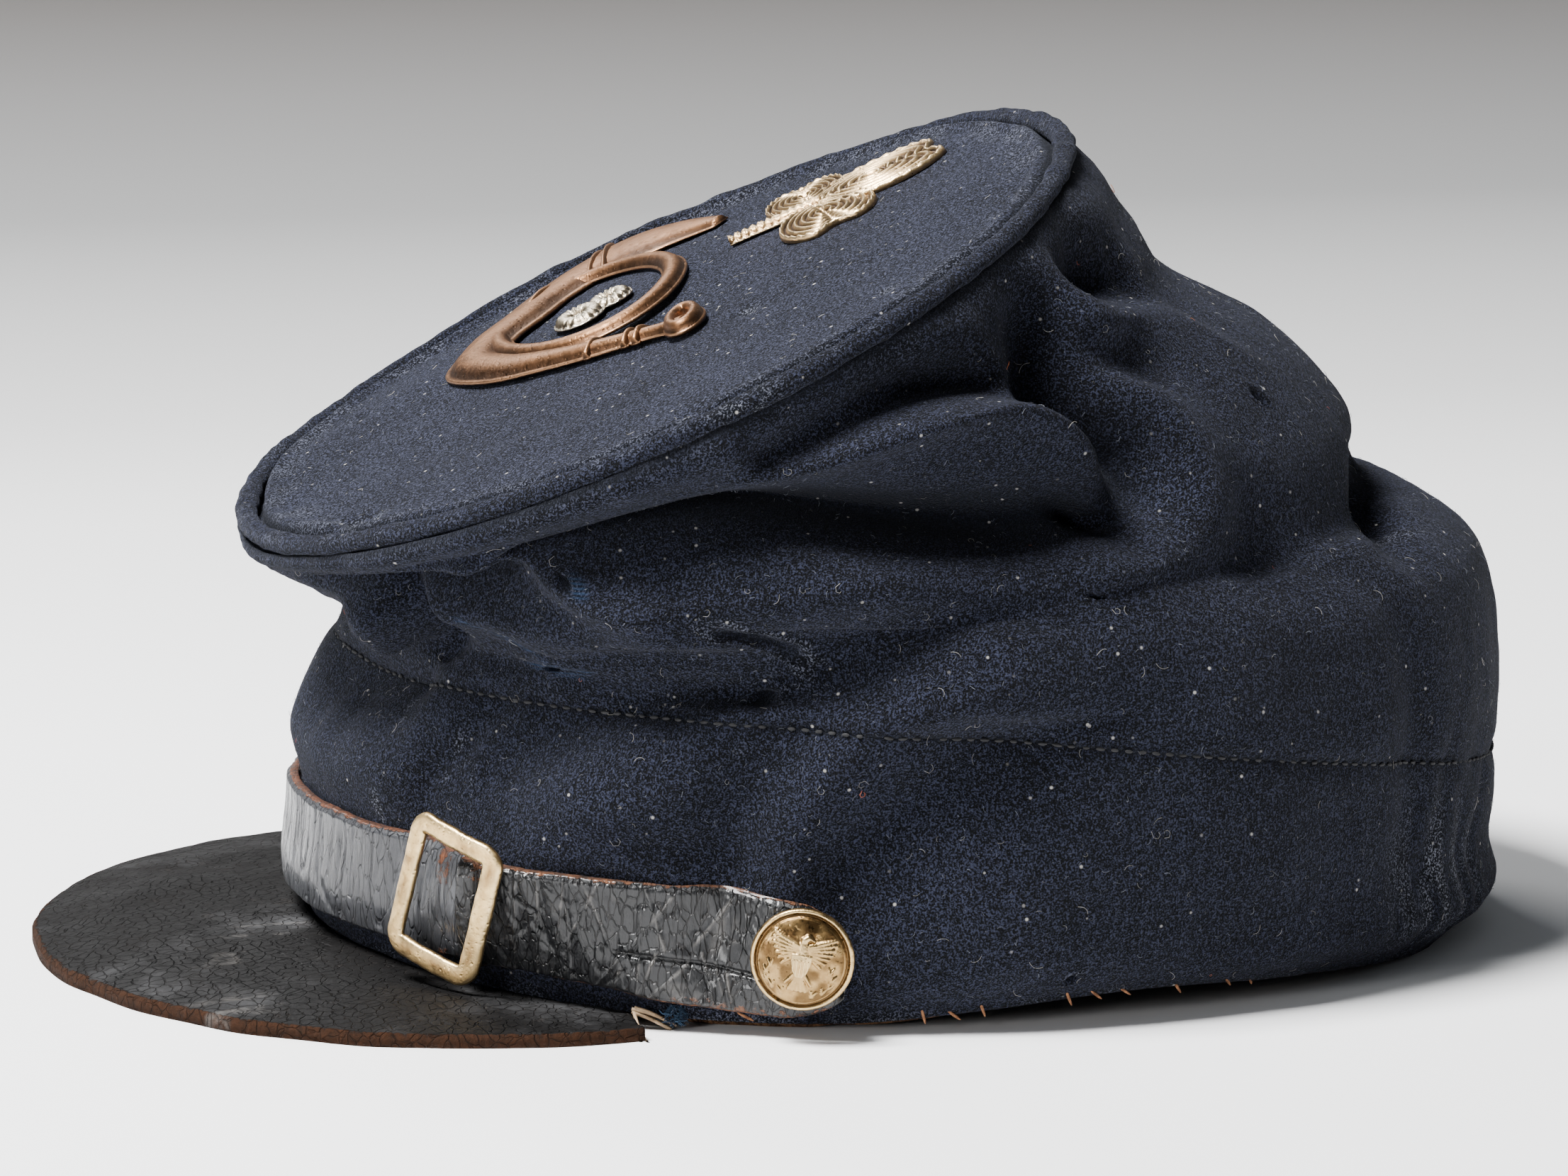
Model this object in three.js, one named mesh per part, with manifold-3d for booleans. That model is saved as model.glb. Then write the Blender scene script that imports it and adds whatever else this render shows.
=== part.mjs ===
// A forage cap of blue wool: a band, a crown that has flopped forward under its round top, a leather
// peak, a two-part leather chin strap with a brass slide, two side buttons and three stamped badges.
// Millimetres. The peak points to -Y, the wearer's left is +X, up is +Z, and the cap rests on z = 0.
import * as THREE from "three";
import { mergeVertices } from "three/addons/utils/BufferGeometryUtils.js";
import Module from "manifold-3d";

// The cloth wall is drawn in cloth coordinates: s runs round the girth from the centre front over the
// wearer's left, and h rises from the base edge to the crown seam.
const GIRTH = 500;
const RISE = 100;
const BAND_RISE = 30;
const CLOTH = 2.2;
const LEATHER = 2;
const STRAP_LEATHER = 1.8;
const SWEATBAND_LEATHER = 1.5;
const GAP = 0.3;

// One row for each ring of the wall: where it crosses the centre front and the centre back, its half
// width, its shift to the wearer's left, and how late it drops on its way to the back.
const RINGS = {
  h: [0, 8, 16, 22, 30, 40, 50, 58, 64, 72, 80, 88, 95, 100],
  frontY: [-86.8, -88.3, -87.4, -88.8, -82.5, -79, -81, -85, -88.2, -91.2, -93.4, -94.6, -95.3, -95.4],
  frontZ: [5.5, 12, 24, 33, 46, 51, 53.2, 54.6, 55.6, 57, 58.6, 59.6, 60.4, 61],
  backY: [85, 92.4, 91.2, 91.6, 92, 92.4, 89.5, 80, 72.8, 68.5, 57.5, 41.5, 35.5, 26.3],
  backZ: [0, 6, 14, 19, 26.6, 41, 57, 64.8, 67.5, 79, 90.5, 99.5, 108, 117.6],
  halfWidth: [71.5, 74, 75, 75.5, 75.5, 75.5, 74.5, 73, 71.5, 70, 69, 68.4, 68, 67.4],
  shift: [0, 0, 0, 0, 0, 0, 0, 0.5, 1, 1.5, 2, 2.5, 2.8, 3],
  drop: [1, 1.2, 1.6, 2, 2.5, 1.6, 1, 1, 1, 1, 1, 1, 1, 1],
};

// The base edge is not level: it lifts over the peak and along the sides, and lies flat at the back.
const EDGE = {
  s: [0, 30, 50, 80, 110, 130, 150, 175, 200, 215, 285, 300, 350, 390, 420, 450, 470, 500],
  z: [5.5, 4.6, 3.4, 1.8, 1.4, 3, 4.3, 3, 1, 0, 0, 1, 3.5, 1.8, 1.8, 3.4, 4.6, 5.5],
};
const EDGE_REACH = 16;

// One row for each fold of the cloth: stations along it with its width there and how far it stands
// out (+) or sinks in (-).
const FOLDS = {
  frontPocket: {
    s: [30, 40, 52, 64, 74],
    h: [84, 82, 80, 79, 82],
    width: [5, 6.5, 7.5, 7, 5],
    out: [-2.5, -5.5, -8.5, -9, -6],
  },
  pocketLip: { s: [70, 81, 88, 90], h: [88, 78, 70, 60], width: [4, 5, 6, 6], out: [2, 3, 3, 2] },
  deepValley: {
    s: [82, 100, 114, 128, 140, 150, 158],
    h: [88.5, 88, 86.5, 82.5, 78, 76, 75],
    width: [5, 6, 6.5, 7, 7, 6.5, 5],
    out: [-8, -12, -13.5, -13, -12.5, -11, -8],
  },
  bodyLip: {
    s: [84, 100, 116, 137, 153, 167, 178, 184],
    h: [72, 70, 69, 67, 66.5, 69, 74, 82],
    width: [6, 6, 6, 6, 6, 6, 6, 6],
    out: [2, 2.5, 3, 3.5, 4, 4, 4, 3],
  },
  tongue: {
    s: [122, 134, 146, 156, 164, 167, 164],
    h: [92.5, 92, 92, 90.5, 87, 82, 78],
    width: [3.2, 3.6, 4, 4.4, 4.4, 4.2, 3.6],
    out: [1.5, 3.5, 5.5, 6.5, 6.5, 5, 2.5],
  },
  tongueHollow: {
    s: [128, 145, 158, 167],
    h: [97, 97, 96, 93.5],
    width: [3, 3, 3.4, 3.2],
    out: [-2.5, -4.5, -5.5, -4.5],
  },
  sideValley: {
    s: [188, 182, 179, 177, 174, 169, 162],
    h: [98, 94, 90, 86, 80, 75, 73],
    width: [4, 5, 5.5, 5.5, 5.5, 5.5, 5],
    out: [-5, -7, -8, -9, -10, -10, -8],
  },
  backHollow: { s: [199, 206, 214], h: [97, 95.5, 93], width: [3.5, 4, 4], out: [-4, -6, -4] },
  backRidge: {
    s: [189, 192, 200, 212],
    h: [97, 94, 90.5, 88],
    width: [3.5, 4, 4.5, 6],
    out: [2.5, 4, 4, 2.5],
  },
  curl: { s: [38, 31, 24], h: [70, 55, 42], width: [5, 5.5, 5], out: [4.5, 5.5, 3] },
  curlCrease: { s: [47, 45, 40, 36], h: [76, 62, 48, 38], width: [3, 3, 3, 3], out: [-4, -5, -4, -2] },
  frontBody: { s: [62, 70, 84], h: [48, 60, 66], width: [8, 8, 7], out: [2.5, 2.5, 2.5] },
  diagonalValley: {
    s: [45, 62, 82, 97, 112, 130, 147],
    h: [20, 25, 36, 46, 56, 62, 64],
    width: [5.5, 6.5, 7, 7, 7, 7, 6],
    out: [-2.5, -3.8, -3.4, -3.4, -3.4, -3, -2],
  },
  frontSwell: { s: [56, 70, 84], h: [14, 22, 27], width: [7, 8, 7], out: [2.5, 4, 3] },
  streak: {
    s: [99, 104, 114, 128],
    h: [19, 28, 40, 49],
    width: [5.5, 6.5, 7, 8],
    out: [1.5, 2.8, 2.8, 1.8],
  },
  streakShadow: { s: [90, 93, 100, 110], h: [11, 20, 30, 38], width: [5, 6, 6, 5], out: [-2, -3, -2, -1] },
  longValley: {
    s: [106, 118, 133, 150, 162],
    h: [17, 25, 34, 46, 57],
    width: [5, 6, 7, 8, 9],
    out: [-2.5, -3.5, -3.5, -3.5, -3],
  },
  lowSwell: { s: [100, 124, 144, 166], h: [9, 11, 16, 21], width: [6, 7, 7, 7], out: [1, 2, 2, 1.5] },
  frontDimple: { s: [2, 18, 32], h: [26, 29, 30], width: [4, 5, 5], out: [-1.5, -4, -3.5] },
  rearHollow: { s: [172, 180, 186], h: [48, 58, 68], width: [9, 10, 9], out: [-1.5, -2.5, -2] },
  rearGroove: {
    s: [190, 192, 194, 193],
    h: [54, 42, 28, 12],
    width: [5, 5, 5, 5],
    out: [-1.2, -1.8, -1.8, -1.2],
  },
  notch: {
    s: [250, 230, 219, 208, 202],
    h: [66, 66, 62, 57.5, 54],
    width: [3, 3, 3, 3, 3],
    out: [-2, -4, -4, -3, -1],
  },
  farValley: {
    s: [-64, -96, -122, -150],
    h: [88, 89, 83, 79],
    width: [5, 5, 6, 6],
    out: [-6, -9, -10, -6],
  },
  farLip: { s: [-70, -110, -150], h: [76, 72, 68], width: [6, 7, 7], out: [3, 3.5, 3] },
  farDiagonal: { s: [-48, -84, -130], h: [20, 34, 52], width: [5, 6, 7], out: [-2, -3, -2.5] },
};
const FOLD_STEPS = 5;
const SEAM_FADE = 4;

// The round top leans forward and a little towards the wearer's left.
const TOP = { x: 3, y: -35.4, z: 92.5, lean: 24.9, roll: 1.5, radius: 68.2, thickness: 2 };
const PIPING = { width: 4.2, height: 3.6, seat: 2.2 };
const TOP_DROOP = 2.2;

// Plan of the peak: an ellipse that runs on past its widest place to the two corners.
const PEAK = { centreY: -62, halfWidth: 72.5, reach: 66, sweep: 110, corner: 88, dome: 1.2, seamRise: -0.2 };

const STRAP = { half: 8.6, frontH: 10.9, sideFall: 2.5, fallPower: 2.5, button: 102, tail: 6 };
const STRAP_FOLD = { s: 57.8, reach: 3.6, height: 1.5 };
const SLIDE = { s: 53, h: 11.9, width: 16.8, height: 22.4, bar: 2.7, thick: 1.1, corner: 3.4, lean: 13 };
const BUTTON = { radius: 7.5, edge: 1.1, dome: 3.4, h: 10.2 };
const SWEATBAND = { rows: 4, slack: 0.9, hang: 1.1, reach: 160, fade: 50 };

const wasm = await Module();
wasm.setup();

// A smooth curve through one column of a table, flat beyond its ends.
function along(table, key, column, x) {
  const knots = table[key];
  const values = table[column];
  const last = knots.length - 1;
  const at = Math.min(Math.max(x, knots[0]), knots[last]);
  let i = 0;
  while (i < last - 1 && at >= knots[i + 1]) i += 1;
  const slope = (k) => {
    const low = Math.max(k - 1, 0);
    const high = Math.min(k + 1, last);
    return (values[high] - values[low]) / (knots[high] - knots[low]);
  };
  const span = knots[i + 1] - knots[i];
  const t = (at - knots[i]) / span;
  return (
    (2 * t ** 3 - 3 * t ** 2 + 1) * values[i] +
    (t ** 3 - 2 * t ** 2 + t) * slope(i) * span +
    (-2 * t ** 3 + 3 * t ** 2) * values[i + 1] +
    (t ** 3 - t ** 2) * slope(i + 1) * span
  );
}

const ramp = (x) => THREE.MathUtils.smoothstep(x, 0, 1);
const rad = THREE.MathUtils.degToRad;
const steps = (count) => Array.from({ length: count + 1 }, (_, i) => i / count);
const range = (from, to, count) => steps(count).map((t) => from + (to - from) * t);

// How far the top sags on the side away from the wearer's left.
const droop = (u) => -TOP_DROOP * ramp((-u - 15) / 50);

// The wall without its folds.
function wall(s, h) {
  const turn = (s / GIRTH) * 2 * Math.PI;
  const ring = (column) => along(RINGS, "h", column, h);
  const back = (1 - Math.cos(turn)) / 2;
  const x = ring("shift") + ring("halfWidth") * Math.sin(turn);
  const y = THREE.MathUtils.lerp(ring("frontY"), ring("backY"), back);
  let z = THREE.MathUtils.lerp(ring("frontZ"), ring("backZ"), back ** ring("drop"));
  z += (droop(x - TOP.x) - x * Math.tan(rad(TOP.roll))) * ramp((h - 70) / 30);
  if (h < EDGE_REACH) {
    const round = THREE.MathUtils.euclideanModulo(s, GIRTH);
    const level = THREE.MathUtils.lerp(RINGS.frontZ[0], RINGS.backZ[0], back);
    z += (along(EDGE, "s", "z", round) - level) * (1 - h / EDGE_REACH) ** 2;
    z = Math.max(z, 0);
  }
  return new THREE.Vector3(x, y, z);
}

const foldPaths = Object.values(FOLDS).map((fold) => {
  const table = { ...fold, k: fold.s.map((_, k) => k) };
  const last = fold.s.length - 1;
  const columns = ["s", "h", "width", "out"];
  const point = (k) => columns.map((column) => along(table, "k", column, k));
  const points = range(0, last, last * FOLD_STEPS).map(point);
  const middle = points.reduce((sum, p) => sum + p[0], 0) / points.length;
  return { points, middle };
});

// How far the folds move the cloth outwards at one place.
function foldsAt(s, h) {
  let total = 0;
  for (const { points, middle } of foldPaths) {
    const here = THREE.MathUtils.euclideanModulo(s - middle + GIRTH / 2, GIRTH) - GIRTH / 2 + middle;
    let nearest = Infinity;
    let value = 0;
    for (let i = 0; i + 1 < points.length; i += 1) {
      const [s0, h0, width0, out0] = points[i];
      const [s1, h1, width1, out1] = points[i + 1];
      const ds = s1 - s0;
      const dh = h1 - h0;
      const t = THREE.MathUtils.clamp(((here - s0) * ds + (h - h0) * dh) / (ds * ds + dh * dh), 0, 1);
      const away = (here - s0 - t * ds) ** 2 + (h - h0 - t * dh) ** 2;
      const ratio = away / (width0 + t * (width1 - width0)) ** 2;
      if (ratio < nearest) {
        nearest = ratio;
        value = (out0 + t * (out1 - out0)) * Math.exp(-ratio);
      }
    }
    total += value;
  }
  return total * ramp((RISE - h) / SEAM_FADE);
}

// The folded wall, moved out of itself by offset. Its base edge is cut square.
function cloth(s, h, offset = 0) {
  const step = 0.4;
  const across = wall(s + step, h).sub(wall(s - step, h));
  const up = wall(s, Math.min(h + step, RISE)).sub(wall(s, Math.max(h - step, 0)));
  const normal = across.cross(up);
  if (h === 0) normal.z = 0;
  normal.normalize();
  return wall(s, h).addScaledVector(normal, foldsAt(s, h) + offset);
}

// A closed sheet with an outer and an inner face over a grid of places. It wraps round or has ends.
function sheet(columns, rows, outer, inner, wraps) {
  const nu = columns.length;
  const nv = rows.length;
  const vertices = [];
  for (const face of [outer, inner])
    for (const u of columns) for (const v of rows) vertices.push(...face(u, v).toArray());
  const index = [];
  const quad = (a, b, c, d) => index.push(a, b, c, a, c, d);
  const at = (i, j, side) => side * nu * nv + (i % nu) * nv + j;
  const spans = wraps ? nu : nu - 1;
  for (let i = 0; i < spans; i += 1) {
    for (let j = 0; j < nv - 1; j += 1) {
      quad(at(i, j, 0), at(i + 1, j, 0), at(i + 1, j + 1, 0), at(i, j + 1, 0));
      quad(at(i, j, 1), at(i, j + 1, 1), at(i + 1, j + 1, 1), at(i + 1, j, 1));
    }
    quad(at(i, 0, 0), at(i, 0, 1), at(i + 1, 0, 1), at(i + 1, 0, 0));
    quad(at(i, nv - 1, 0), at(i + 1, nv - 1, 0), at(i + 1, nv - 1, 1), at(i, nv - 1, 1));
  }
  if (!wraps)
    for (let j = 0; j < nv - 1; j += 1) {
      quad(at(0, j, 0), at(0, j + 1, 0), at(0, j + 1, 1), at(0, j, 1));
      quad(at(nu - 1, j, 0), at(nu - 1, j, 1), at(nu - 1, j + 1, 1), at(nu - 1, j + 1, 0));
    }
  const geometry = new THREE.BufferGeometry();
  geometry.setAttribute("position", new THREE.Float32BufferAttribute(vertices, 3));
  geometry.setIndex(index);
  geometry.computeVertexNormals();
  return geometry;
}

const group = new THREE.Group();

function add(name, geometry, colour, roughness, metalness, parent = group) {
  const material = new THREE.MeshStandardMaterial({ color: colour, roughness, metalness });
  const mesh = new THREE.Mesh(geometry, material);
  mesh.name = name;
  parent.add(mesh);
  return mesh;
}

// The wall is cut finer on the wearer's left, where most of its folds lie.
const LEFT = { from: 30, to: 186, steps: 39 };
const REST_STEPS = 34;
const ROUND = [
  ...range(LEFT.from, LEFT.to, LEFT.steps),
  ...range(LEFT.to, LEFT.from + GIRTH, REST_STEPS).slice(1, -1),
];

const NAVY = 0x20263a;
const BLACK = 0x1c1a19;

const bandRows = range(0, BAND_RISE - GAP / 2, 4);
const clothInner = (s, h) => cloth(s, h, -CLOTH);
add("band", sheet(ROUND, bandRows, cloth, clothInner, true), NAVY, 0.95, 0);

const crownRows = range(BAND_RISE + GAP / 2, RISE, 19);
add("crown_side", sheet(ROUND, crownRows, cloth, clothInner, true), NAVY, 0.95, 0);

// Inside the band, a strip of thin leather that the head touches. At the front it hangs just below the
// cloth.
function liner(s, h, depth) {
  const place = cloth(s, h, -CLOTH - SWEATBAND.slack - depth);
  const turned = Math.min(s, GIRTH - s);
  const hang = SWEATBAND.hang * ramp((SWEATBAND.reach - Math.abs(turned)) / SWEATBAND.fade);
  if (h === 0) place.z = Math.max(wall(s, 0).z - hang, GAP);
  return place;
}
const linerOuter = (s, h) => liner(s, h, 0);
const linerInner = (s, h) => liner(s, h, SWEATBAND_LEATHER);
const linerRows = bandRows.slice(0, SWEATBAND.rows);
add("sweatband", sheet(ROUND, linerRows, linerOuter, linerInner, true), 0x5a3a22, 0.7, 0);

// The round top and what is fixed to it are placed in a group that leans with it.
const top = new THREE.Group();
top.position.set(TOP.x, TOP.y, TOP.z);
top.rotation.order = "YXZ";
top.rotation.set(rad(TOP.lean), rad(TOP.roll), 0);
group.add(top);

function drooped(geometry) {
  const position = geometry.getAttribute("position");
  for (let i = 0; i < position.count; i += 1)
    position.setZ(i, position.getZ(i) + droop(position.getX(i)));
  geometry.computeVertexNormals();
  return geometry;
}

const discEdge = TOP.radius - PIPING.width - GAP;
const discPoints = [
  [0, -TOP.thickness],
  [discEdge * 0.5, -TOP.thickness],
  [discEdge, -TOP.thickness],
  [discEdge, -0.4],
  [discEdge - 1, 0],
  [discEdge * 0.5, 0],
  [0, 0],
].map(([r, z]) => new THREE.Vector2(r, z));
const ROUND_STEPS = 64;
const discGeometry = new THREE.LatheGeometry(discPoints, ROUND_STEPS).rotateX(Math.PI / 2);
add("crown_disc", drooped(discGeometry), NAVY, 0.95, 0, top);

const pipingSides = 8;
const pipingPoints = range(0, 2 * Math.PI, pipingSides).map(
  (a) =>
    new THREE.Vector2(
      TOP.radius - PIPING.width / 2 + (PIPING.width / 2) * Math.cos(a),
      PIPING.height / 2 - PIPING.seat + (PIPING.height / 2) * Math.sin(a),
    ),
);
const pipingGeometry = new THREE.LatheGeometry(pipingPoints, ROUND_STEPS).rotateX(Math.PI / 2);
add("crown_piping", drooped(pipingGeometry), NAVY, 0.95, 0, top);

// The peak hangs from the base edge at the front and comes down to the surface at its rim.
function peak(k, t, depth) {
  const s = PEAK.corner * k;
  const phi = rad(PEAK.sweep * k);
  const start = cloth(s, 0.5, GAP + 0.1);
  const rim = new THREE.Vector3(
    PEAK.halfWidth * Math.sin(phi),
    PEAK.centreY - PEAK.reach * Math.cos(phi),
    LEATHER,
  );
  start.z = Math.max(start.z + PEAK.seamRise, LEATHER);
  const place = start.lerp(rim, t);
  place.z += PEAK.dome * Math.sin(Math.PI * t) * (1 - k * k) - depth;
  return place;
}
const peakTop = (k, t) => peak(k, 1 - t, 0);
const peakUnder = (k, t) => peak(k, 1 - t, LEATHER);
add("visor", sheet(range(-1, 1, 36), range(0, 1, 4), peakTop, peakUnder, false), BLACK, 0.5, 0);

// Both halves of the chin strap lie on the band, centred on a line that falls towards the buttons.
const strapH = (s) => STRAP.frontH - STRAP.sideFall * Math.abs(s / STRAP.button) ** STRAP.fallPower;
function strapPlace(s, v, end, offset) {
  const h = strapH(s);
  const perRise = cloth(s, h + 2).distanceTo(cloth(s, h - 2)) / 4;
  const short = STRAP.half - Math.max(STRAP.half - Math.abs(end - s), 0);
  const half = STRAP.half * Math.sqrt(Math.max(1 - (1 - short / STRAP.half) ** 2, 0.12));
  return cloth(s, h + (v * half) / perRise, offset);
}
const across = range(-1, 1, 4);
const strapBase = GAP + 0.6;
const farTail = -(STRAP.button + STRAP.tail);
const frontEnd = STRAP_FOLD.s - STRAP_FOLD.reach - GAP;
add(
  "strap_front",
  sheet(
    range(farTail + 0.5, frontEnd, 30),
    across,
    (s, v) => strapPlace(s, v, farTail, strapBase + STRAP_LEATHER),
    (s, v) => strapPlace(s, v, farTail, strapBase),
    false,
  ),
  BLACK,
  0.4,
  0,
);

// The short half ends in a fold, rolled over towards the slide.
const nearTail = STRAP.button + STRAP.tail;
const foldStart = STRAP_FOLD.s - STRAP_FOLD.reach;
const halfReach = STRAP_FOLD.reach / 2;
const rolled = (s) => {
  const off = (s - foldStart - halfReach) / halfReach;
  return STRAP_FOLD.height * Math.sqrt(Math.max(1 - off ** 2, 0));
};
add(
  "strap_side",
  sheet(
    [...range(foldStart, STRAP_FOLD.s, 5), ...range(STRAP_FOLD.s + 2, nearTail - 0.5, 16)],
    across,
    (s, v) => strapPlace(s, v, nearTail, strapBase + STRAP_LEATHER + rolled(s)),
    (s, v) => strapPlace(s, v, nearTail, strapBase),
    false,
  ),
  BLACK,
  0.35,
  0,
);

// A frame standing on the wall: +Z out of the cloth, +Y up it.
function onWall(s, h, offset) {
  const place = cloth(s, h, offset);
  const up = cloth(s, h + 3, offset).sub(cloth(s, h - 3, offset)).normalize();
  const side = cloth(s + 3, h, offset).sub(cloth(s - 3, h, offset)).normalize();
  const out = side.clone().cross(up).normalize();
  const basis = new THREE.Matrix4().makeBasis(up.clone().cross(out), up, out).setPosition(place);
  const holder = new THREE.Group();
  holder.applyMatrix4(basis);
  group.add(holder);
  return holder;
}

function roundedRectangle(path, width, height, corner) {
  const x = width / 2;
  const y = height / 2;
  path.moveTo(-x + corner, -y);
  path.lineTo(x - corner, -y);
  path.absarc(x - corner, -y + corner, corner, -Math.PI / 2, 0);
  path.lineTo(x, y - corner);
  path.absarc(x - corner, y - corner, corner, 0, Math.PI / 2);
  path.lineTo(-x + corner, y);
  path.absarc(-x + corner, y - corner, corner, Math.PI / 2, Math.PI);
  path.lineTo(-x, -y + corner);
  path.absarc(-x + corner, -y + corner, corner, Math.PI, Math.PI * 1.5);
  return path;
}

const slideShape = roundedRectangle(new THREE.Shape(), SLIDE.width, SLIDE.height, SLIDE.corner);
const windowCorner = 0.8;
slideShape.holes.push(
  roundedRectangle(new THREE.Path(), SLIDE.width - 2 * SLIDE.bar, SLIDE.height - 2 * SLIDE.bar, windowCorner),
);
const slideGeometry = new THREE.ExtrudeGeometry(slideShape, {
  depth: SLIDE.thick,
  bevelEnabled: false,
  curveSegments: 5,
});
slideGeometry.rotateZ(-rad(SLIDE.lean));
const slideSeat = strapBase + STRAP_LEATHER + GAP + 1.3;
add("strap_slide", slideGeometry, 0xd9c7a0, 0.35, 0.9, onWall(SLIDE.s, SLIDE.h, slideSeat));

// A button is a shallow dome rising inside a rolled rim.
const domeSteps = 6;
const dome = range(0, 1, domeSteps).map((t) => {
  const r = (BUTTON.radius - 0.9) * (1 - t);
  return [r, BUTTON.edge + (BUTTON.dome - BUTTON.edge) * Math.cos((Math.PI / 2) * (1 - t))];
});
const buttonPoints = [
  [0, 0],
  [BUTTON.radius - 0.5, 0],
  [BUTTON.radius, 0.5],
  [BUTTON.radius - 0.3, BUTTON.edge + 0.3],
  ...dome,
].map(([r, z]) => new THREE.Vector2(r, z));
const buttonSeat = strapBase + STRAP_LEATHER + GAP + 0.5;
for (const [name, s] of [
  ["button_left", STRAP.button],
  ["button_right", -STRAP.button],
]) {
  const buttonGeometry = new THREE.LatheGeometry(buttonPoints, 32).rotateX(Math.PI / 2);
  add(name, buttonGeometry, 0xcdb27c, 0.35, 0.95, onWall(s, BUTTON.h, buttonSeat));
}

// A stamped strip lofted along stations on the top: u towards the wearer's left, w towards the back,
// half its width and the height of its crest.
function stamped(stations, closed = false) {
  const count = stations.u.length;
  const seat = GAP;
  const sides = [
    [-1, 0],
    [-0.9, 0.45],
    [-0.45, 0.9],
    [0, 1],
    [0.45, 0.9],
    [0.9, 0.45],
    [1, 0],
  ];
  const ring = sides.length;
  const vertices = [];
  for (let i = 0; i < count; i += 1) {
    const before = closed ? (i + count - 1) % count : Math.max(i - 1, 0);
    const after = closed ? (i + 1) % count : Math.min(i + 1, count - 1);
    const du = stations.u[after] - stations.u[before];
    const dw = stations.w[after] - stations.w[before];
    const length = Math.hypot(du, dw);
    for (const [side, crest] of sides) {
      const reach = side * stations.half[i];
      vertices.push(
        stations.u[i] + (reach * dw) / length,
        stations.w[i] - (reach * du) / length,
        seat + 0.5 + crest * (stations.crest[i] - 0.5),
      );
    }
    for (const side of [1, -1]) {
      const reach = side * stations.half[i];
      vertices.push(stations.u[i] + (reach * dw) / length, stations.w[i] - (reach * du) / length, seat);
    }
  }
  const loop = ring + 2;
  const index = [];
  const spans = closed ? count : count - 1;
  for (let i = 0; i < spans; i += 1)
    for (let j = 0; j < loop; j += 1) {
      const a = i * loop + j;
      const b = i * loop + ((j + 1) % loop);
      const c = ((i + 1) % count) * loop + ((j + 1) % loop);
      const d = ((i + 1) % count) * loop + j;
      index.push(a, b, c, a, c, d);
    }
  if (!closed)
    for (let j = 1; j + 1 < loop; j += 1) {
      const far = (count - 1) * loop;
      index.push(0, j + 1, j);
      index.push(far, far + j, far + j + 1);
    }
  const geometry = new THREE.BufferGeometry();
  geometry.setAttribute("position", new THREE.Float32BufferAttribute(vertices, 3));
  geometry.setIndex(index);
  return geometry;
}

function solidOf(geometry) {
  const bare = new THREE.BufferGeometry();
  bare.setAttribute("position", geometry.getAttribute("position").clone());
  bare.setIndex(geometry.getIndex());
  const merged = mergeVertices(bare, 1e-4);
  const made = new wasm.Manifold(
    new wasm.Mesh({
      numProp: 3,
      vertProperties: merged.getAttribute("position").array,
      triVerts: new Uint32Array(merged.getIndex().array),
    }),
  );
  return made;
}

function joined(geometries) {
  const mesh = geometries.map(solidOf).reduce((whole, piece) => whole.add(piece)).getMesh();
  const geometry = new THREE.BufferGeometry();
  geometry.setAttribute("position", new THREE.BufferAttribute(mesh.vertProperties, 3));
  geometry.setIndex(new THREE.BufferAttribute(mesh.triVerts, 1));
  geometry.computeVertexNormals();
  return geometry;
}

// An oval ring or a full oval of strip, as stations.
function oval(centre, halfU, halfW, half, crest, turn, count) {
  const places = range(0, 2 * Math.PI, count)
    .slice(0, -1)
    .map((a) => new THREE.Vector2(halfU * Math.cos(a), halfW * Math.sin(a)))
    .map((place) => place.rotateAround(new THREE.Vector2(), rad(turn)).add(centre));
  return {
    u: places.map((place) => place.x),
    w: places.map((place) => place.y),
    half: places.map(() => half),
    crest: places.map(() => crest),
  };
}

// The horn: one tube from its mouthpiece, down to the front bend and up to the bell, with one loop.
const HORN_TUBE = {
  u: [11.5, 8.5, 5.5, 1.5, -5, -13, -24, -34, -41, -47, -52.5, -55, -52, -45],
  w: [3.5, 0, -4, -9.5, -16, -22, -25.5, -22, -16, -11, -4, 4.5, 11.5, 18.3],
  half: [4.4, 1.7, 1.9, 2.4, 3.2, 4.4, 5, 5.2, 5.4, 5.6, 6.6, 8.2, 6.2, 1.8],
  crest: [1.9, 1.6, 1.7, 1.9, 2, 2.1, 2.2, 2.3, 2.3, 2.3, 2.3, 2.1, 1.7, 1.2],
};
const hornLoop = oval(new THREE.Vector2(-27.5, -6.5), 21, 14.3, 2.1, 2, 0, 28);
add("horn_badge", joined([stamped(HORN_TUBE), stamped(hornLoop, true)]), 0x7a5a3c, 0.45, 0.9, top);

// The figure stands inside the loop, clear of it.
const figure = [
  oval(new THREE.Vector2(-26, -3), 2.5, 2.1, 1.3, 1.2, 0, 14),
  oval(new THREE.Vector2(-23.4, -8.4), 3.2, 2.4, 1.4, 1.3, 0, 14),
];
add("number_badge", joined(figure.map((part) => stamped(part, true))), 0xcfcab8, 0.4, 0.9, top);

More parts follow.
